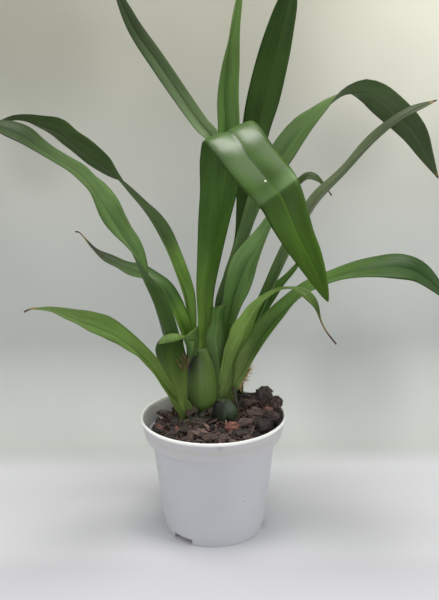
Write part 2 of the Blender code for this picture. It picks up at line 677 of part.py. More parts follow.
def make_bark():
    dice = random.Random(BARK_SEED)
    bed = new_object("bark_bed", bark_core(), finish_material("bark", (0.075, 0.04, 0.03), 0.9))
    chips = tool_collection("bark_chips")
    golden = math.pi * (3.0 - math.sqrt(5.0))
    for i in range(CHIP_COUNT):
        length = dice.uniform(*CHIP_LENGTHS)
        size = (length, length * dice.uniform(*CHIP_WIDTHS), length * dice.uniform(*CHIP_HEIGHTS))
        reach = inner_radius(LEDGE_HIGH) - 1.2 - 0.55 * length
        radius = reach * math.sqrt((i + 0.5) / CHIP_COUNT)
        angle = i * golden
        x = radius * math.cos(angle)
        y = radius * math.sin(angle)
        z = bark_height(x, y) + dice.uniform(-0.5, 2.5)
        add_tool(chips, chip(dice, (x, y, z), size))
    boolean(bed, "UNION", chips)
    holes = tool_collection("plant_holes")
    for x, y, half_x, half_y in PLANT_HOLES:
        add_tool(holes, prism("plant_hole", (x, y), (half_x, half_y), HOLE_FLOOR, HOLE_TOP, 20))
    boolean(bed, "DIFFERENCE", holes)
    keep_largest_body(bed.data)
    return bed


def make_bulb(name, sections, power, colour, sides):
    """Pseudobulb: stacked rounded-diamond sections, closed at both ends."""
    points = []
    rings = []
    for height, cx, cy, half_x, half_y in sections:
        ring = []
        for i in range(sides):
            angle = 2.0 * math.pi * i / sides
            c = math.cos(angle)
            s = math.sin(angle)
            reach = (abs(c) ** power + abs(s) ** power) ** (-1.0 / power)
            ring.append(len(points))
            points.append((cx + half_x * reach * c, cy + half_y * reach * s, height))
        rings.append(ring)
    faces = [tuple(reversed(rings[0])), tuple(rings[-1])]
    for low, high in zip(rings, rings[1:]):
        for i in range(sides):
            j = (i + 1) % sides
            faces.append((low[i], low[j], high[j], high[i]))
    piece = new_object(name, mesh_from(name, points, faces), finish_material(name, colour, 0.45))
    smooth(piece.data, 60.0)
    return piece


def spline(rows, step):
    """Smooth run through the stations: cubic between neighbours, by distance along the path."""
    keys = []
    for x, y, z, width, fold, face in rows:
        keys.append([x, y, z, width, fold, *face])
    at = [0.0]
    for a, b in zip(keys, keys[1:]):
        at.append(at[-1] + math.dist(a[:3], b[:3]))
    slopes = []
    last = len(keys) - 1
    for i in range(len(keys)):
        low = max(i - 1, 0)
        high = min(i + 1, last)
        span = at[high] - at[low]
        slopes.append([(b - a) / span for a, b in zip(keys[low], keys[high])])
    count = max(round(at[-1] / step), 4)
    out = []
    i = 0
    for n in range(count + 1):
        s = at[-1] * n / count
        while i < last - 1 and s > at[i + 1]:
            i += 1
        span = at[i + 1] - at[i]
        t = (s - at[i]) / span
        h0 = 2 * t ** 3 - 3 * t ** 2 + 1
        h1 = t ** 3 - 2 * t ** 2 + t
        h2 = 3 * t ** 2 - 2 * t ** 3
        h3 = t ** 3 - t ** 2
        row = []
        for k in range(8):
            value = h0 * keys[i][k] + h1 * span * slopes[i][k]
            value += h2 * keys[i + 1][k] + h3 * span * slopes[i + 1][k]
            row.append(value)
        out.append(row)
    return out


def section(width, fold, rib, edge):
    """Points of a folded blade's cross-section: (sideways, up) of its upper and its lower face."""
    half = width / 2.0
    angle = math.radians(fold)
    middle = []
    for s in ACROSS:
        middle.append((s * half * math.cos(angle), (abs(s) - 0.6) * half * math.sin(angle)))
    upper = []
    lower = []
    for i, s in enumerate(ACROSS):
        a = middle[max(i - 1, 0)]
        b = middle[min(i + 1, len(middle) - 1)]
        along = Vector((b[0] - a[0], b[1] - a[1])).normalized()
        thick = (edge + (rib - edge) * (1.0 - abs(s))) / 2.0
        upper.append((middle[i][0] - along.y * thick, middle[i][1] + along.x * thick))
        lower.append((middle[i][0] + along.y * thick, middle[i][1] - along.x * thick))
    return upper, lower


def blade_mesh(name, rows, step):
    """Closed thin blade that is split into triangles alike on both faces."""
    run = spline(rows, step)
    centres = [Vector(row[:3]) for row in run]
    points = []
    wide = len(ACROSS)
    for i, row in enumerate(run):
        ahead = centres[min(i + 1, len(run) - 1)] - centres[max(i - 1, 0)]
        ahead.normalize()
        face = Vector(row[5:8])
        face -= ahead * face.dot(ahead)
        face.normalize()
        side = ahead.cross(face)
        width = max(row[3], 1.0)
        rib = RIB_THICKNESS if width > 4.0 else EDGE_THICKNESS
        upper, lower = section(width, row[4], rib, EDGE_THICKNESS)
        for across, up in upper + lower:
            points.append(centres[i] + side * across + face * up)
    faces = []
    stride = 2 * wide
    for i in range(len(run) - 1):
        a = i * stride
        b = a + stride
        for j in range(wide - 1):
            faces.append((a + j, a + j + 1, b + j + 1))
            faces.append((a + j, b + j + 1, b + j))
            c = a + wide
            d = b + wide
            faces.append((c + j, d + j + 1, c + j + 1))
            faces.append((c + j, d + j, d + j + 1))
        faces.append((a, b, b + wide))
        faces.append((a, b + wide, a + wide))
        faces.append((a + wide - 1, b + stride - 1, b + wide - 1))
        faces.append((a + wide - 1, a + stride - 1, b + stride - 1))
    end = (len(run) - 1) * stride
    for j in range(wide - 1):
        faces.append((j, wide + j, wide + j + 1))
        faces.append((j, wide + j + 1, j + 1))
        faces.append((end + j, end + j + 1, end + wide + j + 1))
        faces.append((end + j, end + wide + j + 1, end + wide + j))
    mesh = mesh_from(name, points, faces)
    face_outwards(mesh)
    return mesh


def make_blade(name, rows, colour, step):
    piece = new_object(name, blade_mesh(name, rows, step), finish_material(name, colour, 0.4))
    smooth(piece.data, 60.0)
    return piece


def make_root():
    """Tube along the root's path, closed by rounded ends."""
    rows = [(x, y, z, ROOT_RADIUS, 0, (1, 0, 0)) for x, y, z in ROOT_PATH]
    run = spline(rows, ROOT_STEP)
    centres = [Vector(row[:3]) for row in run]
    sides = 8
    points = []
    for i, centre in enumerate(centres):
        ahead = (centres[min(i + 1, len(run) - 1)] - centres[max(i - 1, 0)]).normalized()
        across = ahead.cross(Vector((0, 1, 0))).normalized()
        other = ahead.cross(across)
        radius = ROOT_RADIUS * (0.55 if i in (0, len(run) - 1) else 1.0)
        for k in range(sides):
            angle = 2.0 * math.pi * k / sides
            points.append(centre + (across * math.cos(angle) + other * math.sin(angle)) * radius)
    faces = [tuple(reversed(range(sides))), tuple(range(len(points) - sides, len(points)))]
    for i in range(len(run) - 1):
        for k in range(sides):
            j = (k + 1) % sides
            a = i * sides
            faces.append((a + k, a + j, a + sides + j, a + sides + k))
    mesh = mesh_from("aerial_root", points, faces)
    face_outwards(mesh)
    root = new_object("aerial_root", mesh, finish_material("root", (0.3, 0.33, 0.2), 0.7))
    smooth(root.data, 60.0)


def build():
    clear_scene()
    make_pot()
    make_bark()
    make_bulb("main_pseudobulb", MAIN_BULB, 1.7, (0.09, 0.15, 0.04), 28)
    make_bulb("old_pseudobulb", OLD_BULB, 1.45, (0.05, 0.09, 0.05), 20)
    for name, rows in SHEATHS.items():
        make_blade(name, rows, (0.06, 0.12, 0.05), SHEATH_STEP)
    for name, rows in HUSKS.items():
        make_blade(name, rows, (0.32, 0.22, 0.12), HUSK_STEP)
    make_root()
    for name, rows in LEAVES.items():
        step = FOLDED_STEP if name == "leaf_front_fold" else BLADE_STEP
        make_blade(name, rows, LEAF_GREENS[name], step)


build()
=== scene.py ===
# %% [markdown]
# # A potted oncidium orchid
#
# The real thing is a young oncidium without flowers, in a plain white nursery pot: fourteen strap
# leaves, a fresh and an old pseudobulb, a few leaf sheaths, dry husks and one root in coarse bark.
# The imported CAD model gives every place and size. This script gives each piece its real surface.
# Lengths are typed in millimetres, and MM turns them into metres.

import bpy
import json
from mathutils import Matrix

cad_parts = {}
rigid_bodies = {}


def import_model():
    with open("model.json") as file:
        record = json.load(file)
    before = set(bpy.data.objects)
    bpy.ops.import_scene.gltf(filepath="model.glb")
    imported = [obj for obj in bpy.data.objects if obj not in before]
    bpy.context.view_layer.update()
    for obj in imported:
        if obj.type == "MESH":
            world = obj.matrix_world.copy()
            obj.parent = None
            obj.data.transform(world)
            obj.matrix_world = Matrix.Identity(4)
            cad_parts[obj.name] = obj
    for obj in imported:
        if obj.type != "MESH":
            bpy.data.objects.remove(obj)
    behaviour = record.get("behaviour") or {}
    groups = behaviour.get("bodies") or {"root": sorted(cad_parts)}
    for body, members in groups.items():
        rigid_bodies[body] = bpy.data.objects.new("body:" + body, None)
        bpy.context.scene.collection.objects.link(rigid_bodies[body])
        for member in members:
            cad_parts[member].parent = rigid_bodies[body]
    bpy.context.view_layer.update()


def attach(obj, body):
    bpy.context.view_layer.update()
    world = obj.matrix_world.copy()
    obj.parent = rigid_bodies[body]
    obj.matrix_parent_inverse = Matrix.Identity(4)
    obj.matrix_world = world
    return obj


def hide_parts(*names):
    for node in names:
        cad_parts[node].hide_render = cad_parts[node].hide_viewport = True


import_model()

# %% The libraries that the pieces need
import json
import math
import random
from types import SimpleNamespace

import bmesh
import bpy
from mathutils import Euler, Matrix, Vector, noise

MM = 0.001

# %% [markdown]
# ## Pieces and how they join the model
#
# Each piece is one mesh, laid through points that are typed in millimetres. When it is done, it is put
# on the body that it rides on and the CAD node that it dresses is hidden, so that the dressed part and
# the imported one stay one thing.


# %% Make a piece and hand it over
def add_object(name, data):
    """Put a mesh, a lamp or a camera into the scene."""
    added = bpy.data.objects.new(name, data)
    bpy.context.scene.collection.objects.link(added)
    return added


def mesh_object(name, points, faces=(), edges=()):
    """A mesh through points in millimetres."""
    mesh = bpy.data.meshes.new(name)
    mesh.from_pydata([tuple(v * MM for v in point) for point in points], edges, faces)
    return add_object(name, mesh)


def store(mesh, name, kind, values):
    """Give every point of a mesh a number or a vector."""
    layer = mesh.attributes.new(name, kind, "POINT")
    field = "vector" if kind == "FLOAT_VECTOR" else "value"
    for item, value in zip(layer.data, values):
        setattr(item, field, value)


def joined(name, pieces):
    """One mesh object from several."""
    target = pieces[0]
    with bpy.context.temp_override(active_object=target, selected_editable_objects=pieces):
        bpy.ops.object.join()
    target.name = name
    target.data.name = name
    return target


def hand_over(piece, node):
    """The piece rides on the plant's one body and dresses a CAD node, which is hidden."""
    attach(piece, "root")
    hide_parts(node)


# %% [markdown]
# ## Node trees written as sums
#
# Both the leaf shapes and the finishes are node trees. Typing node by node is hard to read, so a wire
# can be added and multiplied like a number, and one method makes any other node.


# %% A wire that can be used in sums
def sign(operation, swapped=False):
    """A method that makes a Math node. It is swapped where the wire stands after the sign."""
    if swapped:
        return lambda wire, other: wire.graph.maths(operation, other, wire)
    return lambda wire, other: wire.graph.maths(operation, wire, other)


def pick(sockets, key):
    """A usable socket by its name or its place."""
    usable = [socket for socket in sockets if socket.enabled]
    if isinstance(key, int):
        return usable[key]
    return next(socket for socket in usable if socket.name == key)


class Wire:
    """An output socket that takes part in sums with numbers and other wires."""

    __add__ = sign("ADD")
    __radd__ = sign("ADD", swapped=True)
    __sub__ = sign("SUBTRACT")
    __rsub__ = sign("SUBTRACT", swapped=True)
    __mul__ = sign("MULTIPLY")
    __truediv__ = sign("DIVIDE")
    __pow__ = sign("POWER")

    def __init__(self, graph, socket):
        self.graph = graph
        self.socket = socket

    def out(self, name):
        """Another output of the same node."""
        return Wire(self.graph, pick(self.socket.node.outputs, name))

    def maths(self, operation, *others):
        return self.graph.maths(operation, self, *others)


# %% The graph that makes the nodes
class Graph:
    """Adds nodes to a tree and wires them."""

    def __init__(self, tree):
        self.tree = tree

    def feed(self, socket, value):
        if isinstance(value, Wire):
            self.tree.links.new(value.socket, socket)
        elif socket.type == "VECTOR" and isinstance(value, (int, float)):
            socket.default_value = (value, value, value)
        elif socket.type == "RGBA":
            socket.default_value = (*value[:3], 1.0)
        else:
            socket.default_value = value

    def maths(self, operation, *values):
        """A Math node, or a Vector Math node where one of the values is a vector."""
        kinds = [value.socket.type for value in values if isinstance(value, Wire)]
        vector = "VECTOR" in kinds or "RGBA" in kinds
        made = self.tree.nodes.new("ShaderNodeVectorMath" if vector else "ShaderNodeMath")
        made.operation = operation
        for socket, value in zip(made.inputs, values):
            self.feed(socket, value)
        number = operation in ("DOT_PRODUCT", "LENGTH")
        return Wire(self, made.outputs["Value" if number else 0])

    def node(self, kind, settings=None, inputs=None, output=0):
        """Any other node: its settings are set first, then its inputs."""
        made = self.tree.nodes.new(kind)
        for name, value in (settings or {}).items():
            setattr(made, name, value)
        for key, value in (inputs or {}).items():
            self.feed(pick(made.inputs, key), value)
        return Wire(self, pick(made.outputs, output))

    def ramp(self, share, stops):
        """A colour for each share: the stops are places from 0 to 1 with their colours."""
        made = self.node("ShaderNodeValToRGB", {}, {"Fac": share}, "Color")
        elements = made.socket.node.color_ramp.elements
        while len(elements) < len(stops):
            elements.new(1.0)
        for element, (place, colour) in zip(elements, stops):
            element.position = place
            element.color = (*colour, 1.0)
        return made

    def step(self, value, low, high):
        """0 below low, 1 above high, smooth between them. It falls where high is below low."""
        limits = {"Value": value, "From Min": low, "From Max": high}
        return self.node("ShaderNodeMapRange", {"interpolation_type": "SMOOTHSTEP"}, limits)

    def mix(self, share, first, second):
        """Two colours mixed: share 0 gives the first."""
        parts = {"Factor": share, "A": first, "B": second}
        return self.node("ShaderNodeMix", {"data_type": "RGBA"}, parts, "Result")

    def vector(self, x, y, z):
        return self.node("ShaderNodeCombineXYZ", {}, {"X": x, "Y": y, "Z": z})

    def parts(self, vector):
        """The three numbers of a vector."""
        x = self.node("ShaderNodeSeparateXYZ", {}, {"Vector": vector})
        return x, x.out("Y"), x.out("Z")

    def noise(self, where, detail=2.0, roughness=0.5, scale=1.0):
        """Soft noise at a vector, or at three numbers or wires."""
        where = self.vector(*where) if isinstance(where, tuple) else where
        parts = {"Vector": where, "Scale": scale, "Detail": detail, "Roughness": roughness}
        return self.node("ShaderNodeTexNoise", {}, parts)


# %% [markdown]
# ## The strap leaf as a rule
#
# Every leaf of an oncidium is the same thing: a long strip, folded into a V along its midrib, which
# twists and arches and narrows to a point. So one Geometry Nodes tree makes them all. It takes a path
# whose points carry the blade's width, its fold and the way that its upper face looks. A cylinder is
# squashed onto that path, because a cylinder is already closed: one half of it becomes the upper face,
# the other half the lower one, and the two meet in a thin edge.


# %% Start and finish a Geometry Nodes tree
def new_tree(name, sockets):
    tree = bpy.data.node_groups.new(name, "GeometryNodeTree")
    tree.is_modifier = True
    tree.interface.new_socket("Geometry", in_out="OUTPUT", socket_type="NodeSocketGeometry")
    for label, kind in (("Geometry", "Geometry"), *sockets, ("Finish", "Material")):
        tree.interface.new_socket(label, in_out="INPUT", socket_type="NodeSocket" + kind)
    graph = Graph(tree)
    start = tree.nodes.new("NodeGroupInput")
    given = {socket.name: Wire(graph, socket) for socket in start.outputs if socket.name}
    return tree, graph, given


def end_tree(graph, given, geometry):
    real = graph.node("GeometryNodeRealizeInstances", {}, {0: geometry})
    painted = graph.node("GeometryNodeSetMaterial", {}, {"Geometry": real, "Material": given["Finish"]})
    end = graph.tree.nodes.new("NodeGroupOutput")
    graph.feed(end.inputs["Geometry"], painted)


def grow(name, source, tree, **values):
    """Run a tree on a source object and keep what it makes as a plain mesh."""
    modifier = source.modifiers.new(tree.name, "NODES")
    modifier.node_group = tree
    for item in tree.interface.items_tree:
        key = item.name.lower().replace(" ", "_")
        if item.in_out == "INPUT" and key in values:
            modifier[item.identifier] = values[key]
    depsgraph = bpy.context.evaluated_depsgraph_get()
    seen = source.evaluated_get(depsgraph)
    mesh = bpy.data.meshes.new_from_object(seen, preserve_all_data_layers=True, depsgraph=depsgraph)
    bpy.data.objects.remove(source, do_unlink=True)
    mesh.name = name
    print(name, len(mesh.polygons), "faces")
    return add_object(name, mesh)


# %% The section of a strap leaf
CREASE_WIDTH = 2.2 * MM
ROUNDING = 0.0025
GROOVE_FALL = -260.0


def blade_section(graph, given, at, half, fold):
    """How far a point of the blade lies beside its path and above it."""
    out = at.across.maths("ABSOLUTE")
    soft = (at.across * at.across + ROUNDING).maths("SQRT")
    flat = fold.maths("COSINE")
    steep = fold.maths("SINE")
    shift = at.across * half * flat
    lift = (soft - 0.6) * half * steep
    lift = lift + given["Bow"] * half * out * (1.0 - out) * 4.0

    # The margins wave, each side by itself, and a crease may cross the blade
    side = at.across.maths("SIGN") * 3.0
    swell = graph.noise((at.run / given["Wave Length"], side, given["Seed"]), 1.0)
    ends = graph.step(at.along, 0.0, 0.25) * graph.step(at.along, 1.0, 0.8)
    lift = lift + (swell - 0.5) * 2.0 * given["Wave"] * out ** 2.0 * ends
    away = (at.along - given["Crease At"]) * at.length / CREASE_WIDTH
    lift = lift - given["Crease"] * (away * away * -1.0).maths("EXPONENT")

    # Thick at the midrib, thin at the edge, with a groove above and a keel below
    groove = (at.across * at.across * GROOVE_FALL).maths("EXPONENT")
    thick = (given["Edge"] + (given["Rib"] - given["Edge"]) * (1.0 - out) ** 1.5) * 0.5
    thick = thick * (1.0 - out ** 10.0).maths("MAXIMUM", 0.0).maths("SQRT")
    shift = shift - at.across / soft * steep * thick * at.face
    lift = lift + flat * thick * at.face - given["Groove"] * groove * (at.face + 1.0) * 0.5
    return shift, lift


# %% The strap leaf's tree
BLADE_NUMBERS = ("Edge", "Rib", "Groove", "Bow", "Wave", "Wave Length", "Crease At", "Crease", "Torn", "Seed")


def leaf_tree():
    sockets = [("Around", "Int"), ("Rings", "Int")] + [(name, "Float") for name in BLADE_NUMBERS]
    tree, graph, given = new_tree("Strap leaf", sockets)

    path = graph.node("GeometryNodeMeshToCurve", {}, {0: given["Geometry"]})
    length = graph.node("GeometryNodeCurveLength", {}, {"Curve": path})
    sizes = {"Vertices": given["Around"], "Side Segments": given["Rings"], "Radius": 1.0, "Depth": 1.0}
    tube = graph.node("GeometryNodeMeshCylinder", {"fill_type": "NGON"}, sizes, "Mesh")

    # The turn round the cylinder tells the face and the place across it
    x, y, z = graph.parts(graph.node("GeometryNodeInputPosition"))
    turn = y.maths("ARCTAN2", x)
    face = turn.maths("SIGN")
    even = 1.0 - turn.maths("ABSOLUTE") * (2.0 / math.pi)
    across = even.maths("SIGN") * even.maths("ABSOLUTE") ** 1.25
    along = z + 0.5
    run = along * length
    at = SimpleNamespace(across=across, along=along, run=run, face=face, length=length)

    # A torn end is cut back by a different length along each fibre
    fray = graph.noise((across * 5.0, given["Seed"], 0.0), 3.0, 0.7)
    reach = along * (1.0 - given["Torn"] * fray * along ** 6.0)

    def sample(kind, name):
        value = graph.node("GeometryNodeInputNamedAttribute", {"data_type": kind}, {"Name": name})
        parts = {"Curves": path, "Value": value, "Factor": reach}
        return graph.node("GeometryNodeSampleCurve", {"mode": "FACTOR", "data_type": kind}, parts, "Value")

    width = sample("FLOAT", "width")
    look = sample("FLOAT_VECTOR", "look")
    ahead = width.out("Tangent")
    up = (look - ahead * look.maths("DOT_PRODUCT", ahead)).maths("NORMALIZE")
    side = up.maths("CROSS_PRODUCT", ahead)
    half = width * 0.5
    shift, lift = blade_section(graph, given, at, half, sample("FLOAT", "fold"))

    blade = graph.vector(across, run, along)
    kept = (("blade", "FLOAT_VECTOR", blade), ("upper", "FLOAT", face), ("half", "FLOAT", half))
    for name, kind, value in kept:
        parts = {"Geometry": tube, "Name": name, "Value": value}
        tube = graph.node("GeometryNodeStoreNamedAttribute", {"data_type": kind}, parts)
    spot = width.out("Position") + side * shift + up * lift
    tube = graph.node("GeometryNodeSetPosition", {}, {"Geometry": tube, "Position": spot})
    tube = graph.node("GeometryNodeSetShadeSmooth", {}, {0: tube})
    end_tree(graph, given, tube)
    return tree


STRAP = leaf_tree()
print("strap leaf tree:", len(STRAP.nodes), "nodes")


# %% [markdown]
# ## From a few stations to a smooth path
#
# A leaf is typed as a short list of stations from its base to its tip: the point midway between its
# edges, the width, the angle that each half is folded up, and the way that the upper face looks. A
# cubic through them gives the tree a path with a point every few millimetres.


# %% The path through the stations
def smooth_rows(keys, step):
    """Rows of numbers that start with x, y and z, filled in smoothly about every step mm."""
    at = [0.0]
    for a, b in zip(keys, keys[1:]):
        at.append(at[-1] + math.dist(a[:3], b[:3]))
    last = len(keys) - 1
    slopes = []
    for i in range(len(keys)):
        low = max(i - 1, 0)
        high = min(i + 1, last)
        slopes.append([(b - a) / (at[high] - at[low]) for a, b in zip(keys[low], keys[high])])
    count = max(round(at[-1] / step), 6)
    out = []
    i = 0
    for n in range(count + 1):
        s = at[-1] * n / count
        while i < last - 1 and s > at[i + 1]:
            i += 1
        span = at[i + 1] - at[i]
        t = (s - at[i]) / span
        weights = (2 * t ** 3 - 3 * t ** 2 + 1, (t ** 3 - 2 * t ** 2 + t) * span,
                   3 * t ** 2 - 2 * t ** 3, (t ** 3 - t ** 2) * span)
        parts = zip(keys[i], slopes[i], keys[i + 1], slopes[i + 1])
        out.append([sum(w * value for w, value in zip(weights, four)) for four in parts])
    return out


def line_object(points):
    """A line of vertices, each joined to the next."""
    return mesh_object("line", points, edges=[(i, i + 1) for i in range(len(points) - 1)])


def path_object(rows, step=3.5):
    """The path as a line of vertices that carry the width, the fold and the look."""
    run = smooth_rows(rows, step)
    path = line_object([row[:3] for row in run])
    store(path.data, "width", "FLOAT", [max(row[3], 0.6) * MM for row in run])
    store(path.data, "fold", "FLOAT", [math.radians(row[4]) for row in run])
    store(path.data, "look", "FLOAT_VECTOR", [row[5:8] for row in run])
    return path


# %% Where the leaves at the left stand
# Each station is x, y, z, width and fold, then the way that the upper face looks
LEAVES = {
    "leaf_front_fold": (
        (-9.9, 30.5, 143, 11, 40, 0.1, 1, 0.1), (-9.3, 29.5, 150, 12.5, 42, 0.1, 1, 0.1),
        (-7, 25, 172, 18, 48, 0.1, 1, 0.1), (-6, 21, 198, 24, 50, 0.1, 1, 0.1),
        (-2, 16, 226, 28, 45, 0, 1, 0.1), (3, 8, 257, 31, 35, -0.1, 1, 0.2),
        (7.5, -1, 284, 33, 24, -0.1, 1, 0.3), (11, -13, 312, 37, 7, -0.4, 0.8, 0.4),
        (13.5, -23, 326, 41, 2, -0.42, 0.07, 0.91), (21, -35, 319, 40, 2, -0.15, -0.62, 0.76),
        (29, -45, 307.5, 38.5, 4, -0.12, -0.74, 0.66), (37.5, -54, 297.5, 37, 5, -0.14, -0.78, 0.6),
        (43.5, -60, 290.5, 35, 6, -0.18, -0.83, 0.5), (47, -62.5, 286, 33.5, 7, -0.27, -0.9, 0.32),
        (50.5, -64.5, 280.5, 32, 9, -0.38, -0.9, 0.22), (55.5, -71, 268, 28.5, 10, -0.35, -0.9, 0.25),
        (60.5, -77.5, 256, 23.5, 10, -0.26, -0.9, 0.3), (67, -84.5, 243.5, 19, 10, -0.22, -0.9, 0.35),
        (73, -90.5, 230.5, 12.5, 9, -0.35, -0.88, 0.25), (77.5, -94.5, 219.5, 5.5, 6, -0.45, -0.85, 0.15),
        (79, -96.2, 215.5, 1.2, 5, -0.5, -0.8, 0.1),
    ),
    "leaf_left_back": (
        (-23, 41, 84.3, 8, 45, 0.8, -0.6, 0.1), (-21, 41, 125, 10, 50, 0.7, -0.7, 0.1),
        (-19, 40.5, 161, 13, 50, 0.55, -0.85, 0.1), (-21, 42.5, 185.5, 17, 42, 0.7, -0.7, 0.15),
        (-24.5, 44.5, 200, 19, 35, 0.75, -0.6, 0.35), (-31.5, 48, 219, 22, 28, 0.8, -0.45, 0.4),
        (-41, 52.5, 241.5, 24, 22, 0.75, -0.4, 0.5), (-50, 56.5, 255.5, 24, 20, 0.7, -0.3, 0.65),
        (-60, 60, 266.5, 24, 16, 0.7, -0.15, 0.7), (-69.5, 64, 277, 24, 14, 0.75, -0.05, 0.65),
        (-78.5, 67, 287.5, 25, 12, 0.72, 0.2, 0.65), (-89, 71.5, 296.5, 26, 12, 0.65, 0.6, 0.5),
        (-99.5, 76, 304, 27, 12, 0.6, 0.7, 0.4), (-109.5, 81, 311, 27, 12, 0.55, 0.75, 0.35),
        (-121, 86, 319, 27, 13, 0.6, 0.75, 0.4), (-133.5, 91, 328.5, 26, 14, 0.5, 0.8, 0.35),
        (-147, 95.5, 333.5, 24, 14, 0.4, 0.6, 0.65), (-159.5, 99.5, 337.5, 21, 14, 0.35, 0.45, 0.8),
        (-174, 103, 340.5, 17, 12, 0.05, 0.25, 0.95), (-190.5, 106, 337.5, 11, 10, -0.4, 0.05, 0.9),
        (-214, 108, 321, 1, 5, -0.6, -0.2, 0.8),
    ),
    "leaf_left_front": (
        (-26, 17.5, 128, 10, 35, 0.1, 1, 0), (-29.5, 14, 148, 14, 38, 0.2, 0.95, 0.15),
        (-34, 6, 161.5, 19, 38, 0.3, 0.9, 0.35), (-37.5, 2, 176, 21, 38, 0.45, 0.85, 0.3),
        (-41, -1, 189, 24, 36, 0.6, 0.75, 0.35), (-45.5, -5, 204.5, 25, 36, 0.72, 0.55, 0.4),
        (-50.8, -9.5, 219.5, 24, 32, 0.93, 0.08, 0.38), (-57.2, -12.5, 237, 26, 27, 0.95, -0.2, 0.3),
        (-64, -16.5, 249, 28, 20, 0.9, -0.25, 0.35), (-69.5, -20.5, 259, 28, 17, 0.85, -0.4, 0.3),
        (-74.5, -25.5, 269.5, 29, 15, 0.85, -0.45, 0.2), (-80, -29.5, 281, 29, 14, 0.85, -0.35, 0.35),
        (-85.5, -33, 290, 28, 12, 0.85, -0.2, 0.5), (-91, -35.5, 297, 28, 12, 0.75, -0.25, 0.65),
        (-99.5, -39, 304, 27, 12, 0.6, -0.2, 0.75), (-110, -42, 311, 26, 12, 0.6, -0.2, 0.75),
        (-119.5, -44.5, 318, 25, 12, 0.65, -0.3, 0.75), (-128.5, -46.5, 325, 24, 12, 0.5, -0.45, 0.75),
        (-143, -49.5, 331, 17, 10, 0.4, -0.45, 0.8), (-158.5, -53, 336.5, 1, 5, 0.3, 0.1, 0.95),
    ),
    "leaf_left_short": (
        (-16, 42, 84.3, 8, 45, 0.8, -0.5, 0.1), (-15.5, 42, 125, 10, 45, 0.8, -0.6, 0.1),
        (-20.5, 38, 147, 12, 45, 0.75, -0.65, 0.05), (-24, 35.5, 159.5, 15, 40, 0.65, -0.75, 0.05),
        (-27, 33.5, 170.5, 17, 34, 0.7, -0.7, 0.2), (-32.5, 34, 185, 19, 28, 0.7, -0.55, 0.45),
        (-41, 36.5, 199, 20, 24, 0.6, -0.4, 0.7), (-53, 40.5, 206.5, 20, 20, 0.3, -0.35, 0.9),
        (-65.5, 46.5, 211, 20, 16, 0.05, -0.45, 0.9), (-78.5, 53.5, 214.5, 17, 14, 0.15, -0.3, 0.95),
        (-93.5, 60, 220.5, 12, 12, 0.25, -0.45, 0.85), (-104, 64, 227, 5, 10, 0.5, -0.4, 0.75),
        (-113, 67, 237, 1.5, 5, 0.4, -0.7, 0.6), (-118, 69, 242, 1, 5, 0.35, -0.5, 0.8),
        (-121.5, 70, 242, 1, 5, 0, -0.15, 1),
    ),
    "leaf_left_low": (
        (-21, 10.5, 85.1, 14, 22, 0.25, -0.9, 0.1), (-24.5, 10, 97.5, 16, 24, 0.4, -0.85, 0.3),
        (-28.8, 8.5, 104.5, 16, 28, 0.6, -0.75, 0.25), (-33.5, 5, 112, 15, 33, 0.8, -0.55, 0.15),
        (-37.5, 0.5, 120.5, 16, 34, 0.9, -0.4, 0.2), (-41.5, -3.5, 129, 17, 34, 0.9, -0.35, 0.25),
        (-47.5, -10.5, 143, 19, 32, 0.9, -0.3, 0.3), (-54.5, -18.5, 155, 21, 28, 0.9, -0.2, 0.35),
        (-60.5, -26.5, 165, 24, 24, 0.85, -0.15, 0.5), (-67, -34.5, 173.5, 27, 20, 0.8, -0.15, 0.55),
        (-73.5, -40.5, 180.5, 29, 18, 0.75, -0.15, 0.6), (-79, -46.5, 185, 30, 15, 0.7, -0.15, 0.7),
        (-85.5, -53, 190, 28, 14, 0.65, -0.15, 0.75), (-92, -59, 194, 25, 14, 0.65, -0.1, 0.75),
        (-98.5, -65, 199, 20, 13, 0.6, -0.05, 0.8), (-105, -70, 203, 14, 12, 0.55, -0.1, 0.85),
        (-111, -74, 206.5, 9, 10, 0.4, -0.05, 0.9), (-117, -78, 208, 4, 6, 0.3, -0.1, 0.95),
        (-122, -81, 209, 2, 5, 0.15, -0.3, 0.95), (-126, -84, 207.5, 1, 5, -0.1, -0.3, 0.95),
    ),
}
print(len(LEAVES), "leaves at the left")

